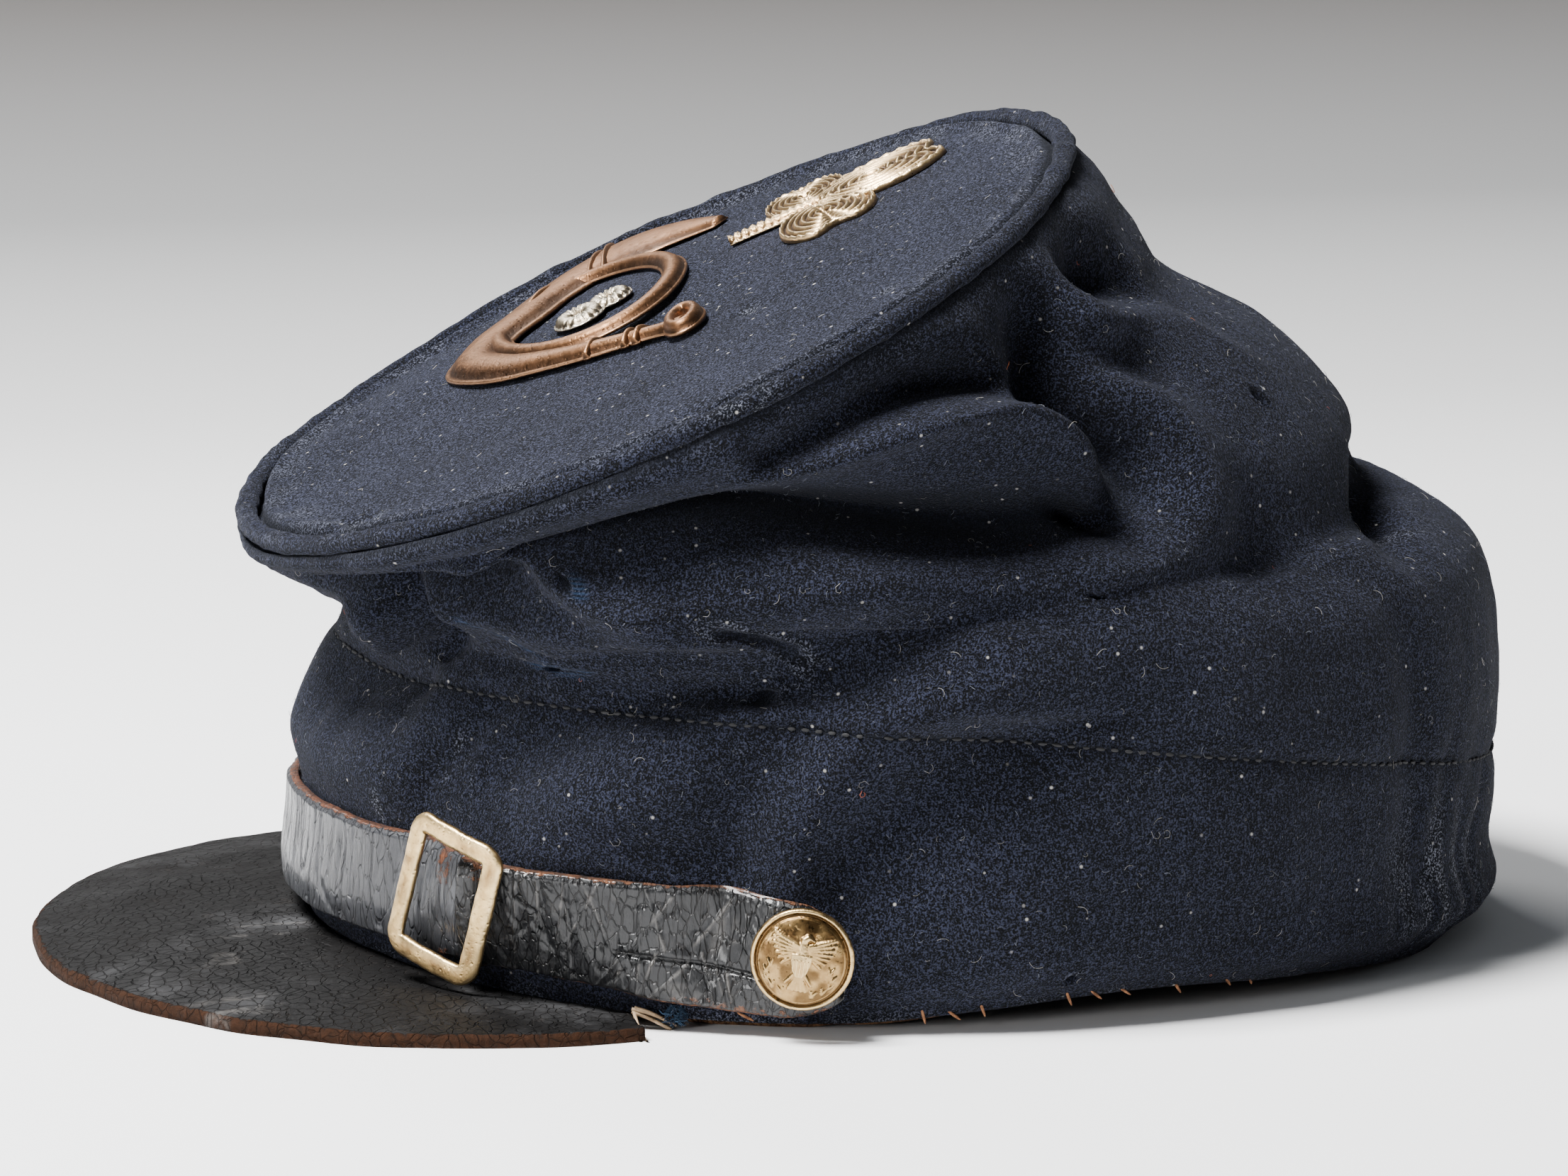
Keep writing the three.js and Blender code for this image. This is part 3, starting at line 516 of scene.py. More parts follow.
def wool_material(name, dark, light, dust_amount):
    """Fulled wool with its nap, rubbed pale and threadbare to blue where masks say so, and painted near
    black where another mask marks painted shade in hollows, grooves and holes.
    """
    plain = {"Roughness": 0.92, "Specular IOR Level": 0.12}
    sheen = {"Sheen Weight": 0.05, "Sheen Roughness": 0.4, "Sheen Tint": (0.6, 0.63, 0.75, 1.0)}
    made, tree, shader, place = finish_of(name, {**plain, **sheen})
    fluff = node(tree, "ShaderNodeGroup", {"Vector": place, "Dust": dust_amount}, node_tree=nap).outputs
    colour = blended(tree, fluff["Mottle"], dark, light)
    rubbed = times(tree, masked(tree, "rubbed"), spread(tree, fluff["Mottle"], 0.35, 0.75))
    colour = blended(tree, rubbed, colour, (0.2, 0.21, 0.25))
    feeds = {"Vector": place, "Scale": 520.0, "Distortion": 1.5}
    weave = node(tree, "ShaderNodeTexWave", feeds, wave_type="BANDS", bands_direction="Z").outputs["Fac"]
    threadbare = times(tree, masked(tree, "threads"), spread(tree, weave, 0.3, 0.8, 0.1, 0.7))
    colour = blended(tree, threadbare, colour, (0.02, 0.045, 0.1))
    # Painted shade: near black where the shade mask marks fold hollows, grooves, holes and the welt's frayed
    # spot.
    colour = blended(tree, masked(tree, "shade_and_bare"), colour, (0.004, 0.005, 0.008))
    colour = blended(tree, fluff["Specks"], colour, (0.5, 0.48, 0.45))
    tree.links.new(colour, shader.inputs["Base Color"])
    bumped(tree, shader, fluff["Height"], 0.0006)
    return made


navy_wool = wool_material("navy_wool", (0.0005, 0.0006, 0.0014), (0.028, 0.032, 0.057), 0.8)

# The columns of the wall stand closest on the wearer's left and at the back, where its folds are sharpest.
CLOSE_FROM, CLOSE_TO = 28.0, 222.0
left_columns = np.arange(CLOSE_FROM, CLOSE_TO, 0.52)
far_columns = np.linspace(CLOSE_TO, CLOSE_FROM + GIRTH, 330)[:-1]
round_columns = np.concatenate([left_columns, far_columns])
# Pale rubs above the strap: place, half width and half height.
RUBS = [(51, 22, 1.6, 2.2), (47, 24, 0.9, 1.6), (33, 26, 1.2, 1.6), (34, 18, 1.5, 1.5)]


def spot(s, h, at_s, at_h, across, tall, edge=1):
    """A soft mark, 1 at its middle. An edge of 2 makes it flatter and its rim crisper."""
    return np.exp(-((((s - at_s) / across) ** 2 + ((h - at_h) / tall) ** 2) ** edge))


def wear_and_shade_of(s, h):
    """Where the wool is rubbed pale, where it is painted near black as painted shade in its fold hollows,
    seam grooves and moth holes, and where its blue threads show.
    """
    s, h = np.broadcast_arrays(s, h)
    patchy = ramp(0.5 + 1.1 * lumps(s, h, 5.0, 11))
    streaky = ramp(0.35 + 1.2 * lumps(s * 3, h * 0.5, 6.0, 12))
    fine = ramp(0.2 + 1.5 * lumps(s * 2, h, 2.0, 13))
    rubbed = spot(s, h, 205, 13, 13, 10) * streaky + 0.35 * spot(s, h, 220, 60, 10, 5) * patchy
    for rub in RUBS:
        rubbed += 1.1 * spot(s, h, *rub) * fine
    rubbed += 0.12 * np.exp(-(((h - RISE) / 2.0) ** 2)) * patchy
    rubbed += 0.3 * np.exp(-((h / 1.5) ** 2)) * patchy
    # Painted shade: the deeper a fold hollow, the darker the wool is painted. The stitched groove, the
    # groove under the welt and the moth holes are painted dark too.
    shade_and_bare = 0.75 * ramp((-folds_at(s, h) - 3.5) / 7.0)
    shade_and_bare = np.maximum(shade_and_bare, 0.7 * np.exp(-(((h - BAND_RISE) / 0.45) ** 2)))
    shade_and_bare = np.maximum(shade_and_bare, 0.8 * ramp((h - 98.7) / 0.9))
    for *hole, depth in HOLES:
        away = off_hole(s, h, *hole)
        shade_and_bare = np.maximum(shade_and_bare, ramp(1.25 - away) * min(depth, 1.2) / 1.2)
        rubbed += 0.5 * np.exp(-(((away - 1.5) / 0.4) ** 2)) * patchy**2
    threads = spot(s, h, 60, 42, 5.5, 4.5, 2) + spot(s + 0.3 * (h - 58), h, 57, 57, 1.8, 8, 2)
    threads = threads + 0.8 * spot(s, h, 84, 79, 1.5, 2.2, 2)
    return np.clip(rubbed, 0, 1), shade_and_bare, np.clip(threads * ramp(0.6 + lumps(s, h, 2.5, 14)), 0, 1)


def worn_cloth(s, h):
    return cloth(s, h, 0.0, True)


def cloth_inside(s, h):
    return cloth(s, h, -CLOTH)


def wool_wall(name, node_name, low, high, count, inner_count):
    """One height of the wall: its worn outer face, its plain inner face and the masks of its wear and of its
    painted shade.
    """
    rows = np.linspace(low, high, count)
    inner_rows = np.linspace(low, high, inner_count)
    points, faces = closed_sheet(round_columns, rows, inner_rows, worn_cloth, cloth_inside, True)
    made = piece(name, points, faces, navy_wool, "wool")
    for mask, values in zip(("rubbed", "shade_and_bare", "threads"), wear_and_shade_of(round_columns[:, None], rows[None, :])):
        mark(made, mask, values)
    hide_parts(node_name)


HALF_GAP = 0.02
wool_wall("wool_band", "band", 0.0, BAND_RISE - HALF_GAP, 58, 7)
wool_wall("wool_crown", "crown_side", BAND_RISE + HALF_GAP, RISE, 122, 15)


# The round top: a flat disc of the same wool, sewn down round its rim, which leans forward over the peak
# and sags a little on its far side. Its welt is a cord covered in wool, caught in the seam below it.
TOP_RADIUS = 68.2
TOP_TURNS = 380
WELT = 3.5
lean = np.array(Matrix.Rotation(TOP_ROLL, 3, "Y") @ Matrix.Rotation(TOP_LEAN, 3, "X"))


def on_top(u, w, up=0.0):
    """A place on the leaning top: u to the wearer's left, w to the back, up off the wool."""
    u, w, up = np.broadcast_arrays(np.asarray(u, float), np.asarray(w, float), np.asarray(up, float))
    return TOP_AT + np.stack([u, w, up + droop(u)], -1) @ lean.T


# Dents and nicks in the top: place, radius and depth.
TOP_MARKS = [
    (29.7, -52.5, 3.4, -1.1),
    (60.5, -3, 3.0, -1.0),
    (17, 12, 2.2, -0.6),
    (-30, -44, 2.0, -0.4),
    (44, 30, 1.6, -0.4),
]


def unevenness(u, w, size, seed):
    """The same lumps over a flat piece whose middle is at nought."""
    return lumps(u + GIRTH / 2, w, size, seed)


def top_height(u, w):
    r = np.hypot(u, w)
    out = 0.35 * unevenness(u, w, 22, 21) + 0.14 * unevenness(u, w, 7, 22)
    out = out + 0.05 * unevenness(u, w, 2.4, 23) + 0.03 * unevenness(u, w, 1.3, 24)
    out = out * ramp((66 - r) / 6) - 0.5 * ramp((50 - r) / 50)
    turn = np.arctan2(w, u) / (2 * np.pi) * GIRTH + GIRTH / 2
    seam = 64.6 + 0.4 * lumps(turn, 0, 9, 25)
    out = out + 0.9 * np.exp(-(((r - seam + 2.1) / 1.2) ** 2)) - 1.8 * ramp((r - seam + 1.2) / 1.3)
    for mark_u, mark_w, radius, depth in TOP_MARKS:
        out = out + depth * spot(u, w, mark_u, mark_w, radius, radius)
    return out


def round_grid(radii, turns):
    return radii[:, None] * np.cos(turns)[None, :], radii[:, None] * np.sin(turns)[None, :]


def ringed(rings, turned=False):
    """A closed form over rings of places from end to end, with both its ends capped."""
    rows, around = rings.shape[:2]
    ends = [list(range(around)), [(rows - 1) * around + k for k in reversed(range(around))]]
    if turned:
        ends = [end[::-1] for end in ends]
    return rings.reshape(-1, 3), grid_faces(rows, around, turned=turned) + ends


# The top's wool is the wall's wool painted lighter, as painted light on its upturned face.
top_wool_painted_lighter = wool_material("top_wool_painted_lighter", (0.0006, 0.0008, 0.002), (0.044, 0.049, 0.08), 1.0)
radii = np.concatenate([[0.35], np.linspace(1.0, 60.0, 84), np.linspace(60.4, 66.6, 15)])
turns = np.linspace(0, 2 * np.pi, TOP_TURNS, endpoint=False)
u, w = round_grid(radii, turns)
under_u, under_w = round_grid(np.array([66.6, 48.0, 24.0, 0.35]), turns)
rings = np.concatenate([on_top(u, w, top_height(u, w)), on_top(under_u, under_w, -CLOTH)])
top_disc = piece("wool_top", *ringed(rings), top_wool_painted_lighter, "wool")
patchy = ramp(0.5 + 1.2 * unevenness(u, w, 3.0, 31))
rubbed = 0.25 * ramp((np.hypot(u, w) - 56) / 5) * patchy
# Painted shade in the groove between the top and its welt. The dents are also painted darker in their
# middles.
shade_and_bare = 0.85 * np.exp(-(((np.hypot(u, w) - 64.2) / 0.7) ** 2))
for mark_u, mark_w, radius, depth in TOP_MARKS:
    away = np.hypot(u - mark_u, w - mark_w) / radius
    rubbed += 0.9 * np.exp(-(away**2)) * patchy
    shade_and_bare = np.maximum(shade_and_bare, 0.7 * ramp(1.1 - 1.6 * away * (1 + 0.4 * unevenness(u, w, 1.5, 32))))
mark(top_disc, "rubbed", np.clip(rubbed, 0, 1))
mark(top_disc, "shade_and_bare", shade_and_bare)
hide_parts("crown_disc")

welt_turns = np.linspace(0, GIRTH, 760, endpoint=False)
welt_sides = np.linspace(0, 2 * np.pi, 30, endpoint=False)
turn_grid, side_grid = np.meshgrid(welt_turns, welt_sides, indexing="ij")
pucker = 0.16 * lumps(turn_grid, 0, 4.2, 41) + 0.1 * lumps(turn_grid, side_grid * 3, 2.2, 42)
half_wide = WELT / 2 + pucker + 0.15 * lumps(turn_grid, 0, 30, 43)
half_high = 1.5 + pucker
reach = TOP_RADIUS - WELT / 2 + 0.45 * lumps(turn_grid, 0, 26, 44) + half_wide * np.cos(side_grid)
angle = (turn_grid - GIRTH / 2) / GIRTH * 2 * np.pi
rise = -0.55 + half_high * np.sin(side_grid) + 0.35 * lumps(turn_grid, 0, 34, 45)
rise = rise + 0.04 * lumps(turn_grid, side_grid * 4, 1.3, 46)
welt_points = on_top(reach * np.cos(angle), reach * np.sin(angle), rise).reshape(-1, 3)
welt_faces = grid_faces(len(welt_turns), len(welt_sides), True)
welt = piece("wool_welt", welt_points, welt_faces, navy_wool, "wool")
crest = ramp(np.sin(side_grid)) * ramp(0.2 + 1.3 * lumps(turn_grid, side_grid, 2.5, 47))
frayed = np.exp(-(((turn_grid - GIRTH / 2 - 4) / 5) ** 2))
frayed = frayed * ramp(0.4 + 1.5 * lumps(turn_grid, side_grid, 2, 48))
mark(welt, "rubbed", np.clip(0.16 * crest + 0.9 * frayed, 0, 1))
mark(welt, "shade_and_bare", 0.6 * frayed * (crest < 0.3))
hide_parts("crown_piping")


# The row of backstitches at the top of the band, in dark grey linen thread, and the rust-brown whip
# stitches that bind the worn base edge. Each stitch is laid along its seam by the same small tree.
def plain_material(name, dark, light, scale, roughness):
    """Thread, lint and the like: one fine grain between two colours."""
    made, tree, shader, place = finish_of(name, {"Roughness": roughness})
    grain = noise(tree, place, scale)
    tree.links.new(blended(tree, spread(tree, grain, 0.35, 0.65), dark, light), shader.inputs["Base Color"])
    bumped(tree, shader, grain, 0.0002, 0.6)
    return made


def tree_of(name, inputs):
    """A geometry tree with named inputs and the values that they start with."""
    tree = bpy.data.node_groups.new(name, "GeometryNodeTree")
    tree.interface.new_socket(name="Geometry", in_out="INPUT", socket_type="NodeSocketGeometry")
    for label, value in inputs.items():
        kind = "NodeSocketInt" if isinstance(value, int) else "NodeSocketFloat"
        tree.interface.new_socket(name=label, in_out="INPUT", socket_type=kind).default_value = value
    tree.interface.new_socket(name="Geometry", in_out="OUTPUT", socket_type="NodeSocketGeometry")
    return tree, tree.nodes.new("NodeGroupInput").outputs


def ended(tree, instances):
    """Ends a tree: what it has laid out is made real and run through a material node that is given no
    material.
    """
    real = node(tree, "GeometryNodeRealizeInstances", {0: instances})
    clad = node(tree, "GeometryNodeSetMaterial", {0: real.outputs[0]})
    tree.links.new(clad.outputs[0], tree.nodes.new("NodeGroupOutput").inputs[0])


def made_plain(name, source, tree, values, material):
    """Runs a tree on a source mesh with its inputs set, and keeps the result as a plain piece in the given
    material.
    """
    modifier = source.modifiers.new("made", "NODES")
    modifier.node_group = tree
    for item in tree.interface.items_tree:
        if item.in_out == "INPUT" and item.name in values:
            modifier[item.identifier] = values[item.name]
    seen = source.evaluated_get(bpy.context.evaluated_depsgraph_get())
    mesh = bpy.data.meshes.new_from_object(seen)
    source.modifiers.remove(modifier)
    mesh.name = name
    mesh.materials.clear()
    mesh.materials.append(material)
    made = put(name, mesh)
    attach(made, "root")


def source_of(name, points, edges=(), faces=()):
    """A mesh that only guides a tree, and is thrown away after it."""
    mesh = bpy.data.meshes.new(name)
    mesh.from_pydata((np.asarray(points).reshape(-1, 3) * MM + home).tolist(), edges, faces)
    return put(name, mesh)


def thrown_away(source):
    mesh = source.data
    bpy.data.objects.remove(source)
    bpy.data.meshes.remove(mesh)


stitching, given = tree_of(
    "stitching",
    {
        "Pitch": 0.002,
        "Length": 0.0013,
        "Thickness": 0.0004,
        "Slant": 0.0,
        "Uneven": 0.15,
        "Missing": 0.0,
        "Seed": 1,
    },
)
seam = node(stitching, "GeometryNodeMeshToCurve", {0: given["Geometry"]}).outputs[0]
feeds = {"Curve": seam, "Length": given["Pitch"]}
spaced = node(stitching, "GeometryNodeResampleCurve", feeds, mode="LENGTH")
ball = node(stitching, "GeometryNodeMeshIcoSphere", {"Subdivisions": 2, "Radius": 0.5})
tangent = node(stitching, "GeometryNodeInputTangent").outputs[0]
aligned = node(stitching, "FunctionNodeAlignRotationToVector", {"Vector": tangent}, axis="X").outputs[0]
least = times(stitching, given["Uneven"], -1.0)
feeds = {0: least, 1: given["Uneven"], "Seed": given["Seed"]}
wobble = node(stitching, "FunctionNodeRandomValue", feeds, data_type="FLOAT_VECTOR").outputs[0]
slant = node(stitching, "ShaderNodeCombineXYZ", {"Y": given["Slant"]}).outputs[0]
tilt = node(stitching, "ShaderNodeVectorMath", {0: slant, 1: wobble}, operation="ADD").outputs[0]
laid = node(stitching, "FunctionNodeRotateRotation", {0: aligned, 1: tilt}, rotation_space="LOCAL")
longer = node(stitching, "FunctionNodeRandomValue", {2: 0.75, 3: 1.2}, data_type="FLOAT").outputs[1]
thick = {"Y": given["Thickness"], "Z": given["Thickness"]}
size = node(stitching, "ShaderNodeCombineXYZ", {"X": times(stitching, given["Length"], longer), **thick})
feeds = {"Probability": maths(stitching, "SUBTRACT", 1.0, given["Missing"]), "Seed": given["Seed"]}
sewn = node(stitching, "FunctionNodeRandomValue", feeds, data_type="BOOLEAN").outputs[3]
feeds = {"Points": spaced.outputs[0], "Selection": sewn, "Instance": ball.outputs[0]}
feeds.update({"Rotation": laid.outputs[0], "Scale": size.outputs[0]})
ended(stitching, node(stitching, "GeometryNodeInstanceOnPoints", feeds).outputs[0])

SEAM_POINTS = 500
grey_thread = plain_material("grey_thread", (0.002, 0.002, 0.003), (0.012, 0.012, 0.014), 900, 0.8)
rust_thread = plain_material("rust_thread", (0.1, 0.035, 0.012), (0.36, 0.16, 0.07), 900, 0.85)
seam_s = np.linspace(0, GIRTH, SEAM_POINTS, endpoint=False)
seam_edges = [(k, (k + 1) % SEAM_POINTS) for k in range(SEAM_POINTS)]
seam_line = source_of("seam_line", cloth(seam_s, BAND_RISE, -0.42), seam_edges)
sizes = {"Pitch": 0.0021, "Length": 0.0013, "Thickness": 0.00055, "Uneven": 0.12, "Missing": 0.08, "Seed": 3}
made_plain("band_stitches", seam_line, stitching, sizes, grey_thread)
thrown_away(seam_line)
edge_s = np.linspace(92, 168, 90)
edge_points = cloth(edge_s, 0.55 + 0.3 * np.sin(edge_s), 0.12)
edge_line = source_of("edge_line", edge_points, [(k, k + 1) for k in range(len(edge_s) - 1)])
sizes = {"Pitch": 0.0042, "Length": 0.0026, "Thickness": 0.00045, "Slant": 0.9}
sizes.update({"Uneven": 0.5, "Missing": 0.3, "Seed": 8})
made_plain("whip_stitches", edge_line, stitching, sizes, rust_thread)
thrown_away(edge_line)


# The peak: one piece of black enamelled sole leather, sewn into the base edge. The finish is crazed and
# scuffed grey, and its raw rim has worn to brown.
PEAK_CENTRE_Y = -62.0
PEAK_HALF_WIDTH = 72.5
PEAK_REACH = 66.0
PEAK_SWEEP = math.radians(103.5)
PEAK_CORNER = 78.5
LEATHER = 2.0


def peak(k, t, depth=0.0):
    """k runs from the right corner to the left, t from the seam to the rim."""
    k, t = np.broadcast_arrays(np.asarray(k, float), np.asarray(t, float))
    phi = PEAK_SWEEP * k
    start = cloth(PEAK_CORNER * k, 0.5, 0.4)
    start[..., 2] = np.maximum(start[..., 2] - 0.2, LEATHER)
    wave = 0.5 * unevenness(phi * 60, t * 60, 14, 61) * ramp(1.4 - t)
    rim_out = 1 + 0.006 * unevenness(phi * 60, 0, 9, 62)
    rim_x = PEAK_HALF_WIDTH * rim_out * np.sin(phi)
    rim_y = PEAK_CENTRE_Y - PEAK_REACH * rim_out * np.cos(phi)
    rim = np.stack([rim_x, rim_y, np.full(k.shape, LEATHER)], -1)
    place = start + (rim - start) * t[..., None]
    place[..., 2] += 1.2 * np.sin(np.pi * t) * (1 - k * k) + wave * np.sin(np.pi * np.clip(t, 0, 1))
    x, y = place[..., 0], place[..., 1] + 60
    fine = 0.07 * unevenness(x, y, 3.2, 63) + 0.03 * unevenness(x, y, 1.4, 64)
    worn_rim = -0.5 * ramp((t - 0.985) / 0.015) * (1 + 0.4 * unevenness(phi * 60, 0, 2.2, 65))
    place[..., 2] += np.where(depth > 0, -depth, fine + worn_rim)
    place[..., 2] = np.maximum(place[..., 2], 0.02)
    return place


def peak_underside(k, t):
    return peak(k, t, LEATHER)


# The crackle: plates of finish with cracks between them, bent out of true, and the pores of the hide.
crackle, given, shown = group_tree(
    "leather_crackle", {"Vector": "NodeSocketVector", "Scale": "NodeSocketFloat"}, ["Cracks", "Grain"]
)
feeds = {"Vector": given["Vector"], "Scale": 140.0, "Detail": 3.0, "Roughness": 0.6}
bent = node(crackle, "ShaderNodeTexNoise", feeds).outputs["Color"]
push = node(crackle, "ShaderNodeVectorMath", {0: bent, "Scale": 0.004}, operation="SCALE").outputs[0]
moved = node(crackle, "ShaderNodeVectorMath", {0: given["Vector"], 1: push}, operation="ADD").outputs[0]
feeds = {"Vector": moved, "Scale": given["Scale"]}
plates = node(crackle, "ShaderNodeTexVoronoi", feeds, feature="DISTANCE_TO_EDGE").outputs["Distance"]
crackle.links.new(spread(crackle, plates, 0.07, 0.0), shown["Cracks"])
crackle.links.new(noise(crackle, given["Vector"], 900.0, 4.0, 0.7), shown["Grain"])


def leather_material(name, black, grey, brown, scale, drawn, scuff, gloss, shine):
    """Black finish over brown hide: crazed, scuffed grey, worn through to brown where a mask says so, and
    pale where another mask marks scratches and painted highlights.
    """
    coat = {"Coat Weight": shine[1], "Coat Roughness": 0.12}
    made, tree, shader, place = finish_of(name, {"Specular IOR Level": shine[0], **coat})
    pulled = node(tree, "ShaderNodeVectorMath", {0: place, 1: drawn}, operation="MULTIPLY").outputs[0]
    crazed = node(tree, "ShaderNodeGroup", {"Vector": pulled, "Scale": scale}, node_tree=crackle).outputs
    broad = noise(tree, place, 26.0, 5.0, 0.62)
    rub = noise(tree, place, 95.0, 6.0, 0.7)
    raw = noise(tree, place, 700.0, 4.0, 0.7)
    scuffed = times(tree, spread(tree, broad, 0.5, 0.72), spread(tree, rub, 0.42, 0.64))
    colour = blended(tree, times(tree, scuffed, scuff), black, grey)
    broken = times(tree, crazed["Cracks"], spread(tree, rub, 0.45, 0.6))
    colour = blended(tree, times(tree, broken, 0.5), colour, (0.02, 0.016, 0.014))
    hide = blended(tree, spread(tree, raw, 0.3, 0.7), (0.014, 0.007, 0.004), brown)
    worn = plus(tree, masked(tree, "worn"), spread(tree, raw, 0.4, 0.6, -0.25, 0.25))
    through = spread(tree, worn, 0.42, 0.62)
    colour = blended(tree, through, colour, hide)
    # Pale marks: scratches and scuffs, and on the side strap painted highlights along its crease ridges.
    scratches_and_highlights = times(tree, masked(tree, "pale"), spread(tree, rub, 0.5, 0.6))
    colour = blended(tree, scratches_and_highlights, colour, (0.16, 0.15, 0.14))
    tree.links.new(colour, shader.inputs["Base Color"])
    dull = plus(tree, spread(tree, rub, 0.3, 0.7, gloss, gloss + 0.25), times(tree, through, 0.4))
    tree.links.new(dull, shader.inputs["Roughness"])
    relief = maths(tree, "SUBTRACT", times(tree, crazed["Grain"], 0.5), times(tree, crazed["Cracks"], 0.7))
    relief = plus(tree, relief, times(tree, times(tree, raw, through), 1.2))
    bumped(tree, shader, relief, 0.0004)
    return made


PEAK_COLOURS = ((0.0035, 0.0032, 0.0032), (0.08, 0.08, 0.083), (0.032, 0.013, 0.006))
peak_leather = leather_material("peak_leather", *PEAK_COLOURS, 520.0, (1, 1, 1), 0.85, 0.5, (0.12, 0.0))
peak_k = np.linspace(-1, 1, 420)
peak_t = np.concatenate([np.linspace(1.0, 0.96, 12), np.linspace(0.95, 0.0, 76)])
under_t = np.concatenate([np.linspace(1.0, 0.96, 4), np.linspace(0.9, 0.0, 14)])
points, faces = closed_sheet(peak_k, peak_t, under_t, peak, peak_underside, False)
peak_piece = piece("peak_leather", points, faces, peak_leather, "peak_leather")
at_rim = np.tile(ramp((peak_t - 0.965) / 0.03), len(peak_k))
mark(peak_piece, "worn", np.concatenate([0.85 * at_rim, np.ones(len(points) - len(at_rim))]))
fold_line = np.exp(-(((points[:, 1] + 92 + 0.25 * points[:, 0]) / 7) ** 2)) * (points[:, 0] > 10)
patchy = ramp(-0.1 + 1.4 * unevenness(points[:, 0], points[:, 1], 2.4, 66))
mark(peak_piece, "pale", 0.35 * fold_line * patchy)
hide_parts("visor")


# The chin strap: two lengths of thin black leather that lie on the band from side button to side button.
# Both end under the brass slide, the short one in a small roll.
STRAP_HALF = 8.6
STRAP_LEATHER = 1.8
STRAP_BUTTON = 102.0
STRAP_SEAT = 0.6
ROLL_AT = 57.8
ROLL_REACH = 3.6
tail = STRAP_BUTTON + 6.0


def strap_middle(s):
    return 10.9 - 2.5 * np.abs(s / STRAP_BUTTON) ** 2.5


def on_strap(s, v, end, up):
    """v crosses the strap from its lower edge (-1) to its upper (+1)."""
    s, v = np.broadcast_arrays(np.asarray(s, float), np.asarray(v, float))
    middle = strap_middle(s)
    per_rise = np.linalg.norm(cloth(s, middle + 2) - cloth(s, middle - 2), axis=-1) / 4
    short = np.clip(np.abs(end - s), 0, STRAP_HALF)
    half = STRAP_HALF * np.sqrt(np.maximum(1 - (1 - short / STRAP_HALF) ** 2, 0.12))
    half = half + 0.22 * lumps(s, v * 3, 7, 71) * np.abs(v) + 0.1 * lumps(s, v * 9, 1.8, 72) * np.abs(v)
    return cloth(s, middle + v * half / per_rise, STRAP_SEAT + up)


def ridged(s, y, size, seed, stretch=1.0):
    """Sharp creases: narrow valleys that wander across the leather."""
    value = lumps(s, y * stretch, size, seed) + 0.5 * lumps(s, y * stretch, size / 2, seed + 1)
    return np.exp(-((value / 0.16) ** 2))


def front_face(s, v):
    """The height of the long strap's face, and its broad cracks, its fine cracks and its edges."""
    y = v * STRAP_HALF
    cracks = ridged(s + 0.6 * lumps(s, y, 6, 73), y, 2.6, 74, 0.16)
    fine = ridged(s, y, 1.5, 76, 0.12)
    edge = ramp((np.abs(v) - 0.86) / 0.14)
    soft = 0.16 * lumps(s, y * 0.3, 5.5, 78) - 0.2 * cracks - 0.1 * fine - 0.7 * edge**2
    soft = soft - 0.25 * np.exp(-(((s - 47) / 1.1) ** 2))
    return STRAP_LEATHER + soft, cracks, fine, edge


# Straight creases of the side strap: where each starts and ends, along the strap and up it.
SIDE_CREASES = [
    (66.2, -8, 66.8, 8), (68.6, -8, 70.4, 8), (71.4, -8, 70.6, 4), (74.8, -8, 75, 0), (75, -8, 79, 0),
    (77.5, -8, 79, 0), (81, -8, 80.5, 8), (81.1, -8, 83, 0), (82.7, -8, 87, -1.5), (91.8, -8, 88.8, 0),
    (93.4, -8, 90.2, 0), (94.2, -8, 92, -1), (70.5, -1, 75, 8), (76.5, 0, 73, 8), (79.5, 0, 84.5, 7),
    (84, 0, 81, 8), (87.5, 1, 92, 7), (62.8, -8, 63.6, 8),
]


def creases_at(s, y):
    total = np.zeros(s.shape)
    for from_s, from_y, to_s, to_y in SIDE_CREASES:
        ds, dy = to_s - from_s, to_y - from_y
        t = np.clip(((s - from_s) * ds + (y - from_y) * dy) / (ds * ds + dy * dy), 0, 1)
        away = np.hypot(s - from_s - t * ds, y - from_y - t * dy) + 0.12 * lumps(s, y, 1.2, 95)
        total = np.maximum(total, np.exp(-((away / 0.16) ** 2)))
    return total


def side_face(s, v):
    """The same for the short strap, which is creased, slit along its middle and rolled at its end."""
    y = v * STRAP_HALF
    lines = creases_at(s, y)
    zigzag = ridged(s + y * 0.7, y - 0.35 * s, 5.0, 80, 0.6)
    cross = ridged(s - y * 0.8, y + 0.2 * s, 6.0, 83, 0.5)
    fine = ridged(s, y, 1.8, 86, 0.25)
    edge = ramp((np.abs(v) - 0.86) / 0.14)
    slit_h = -1.2 - 0.02 * (s - 78)
    slit = np.exp(-(((y - slit_h) / 0.34) ** 2)) * ramp((s - 76.5) / 2.5)
    corrugated = np.exp(-(((s - 66) / 7) ** 2)) * np.cos((s + 0.2 * y) * 1.9)
    soft = 0.24 * lumps(s, y * 0.25, 5, 88) - 0.14 * zigzag - 0.12 * cross - 0.12 * fine
    soft = soft + 0.16 * corrugated - 0.7 * edge**2 - 0.9 * slit + 0.26 * lines
    soft = soft - 0.12 * y * ramp((s - 77) / 5) + 0.04 * y * ramp((76 - s) / 5)
    roll_off = (s - (ROLL_AT - ROLL_REACH / 2)) / (ROLL_REACH / 2)
    roll = 1.5 * np.sqrt(np.maximum(1 - roll_off**2, 0.0))
    return STRAP_LEATHER + soft + roll, np.maximum(zigzag, cross), np.maximum(fine * 0.6, slit), edge


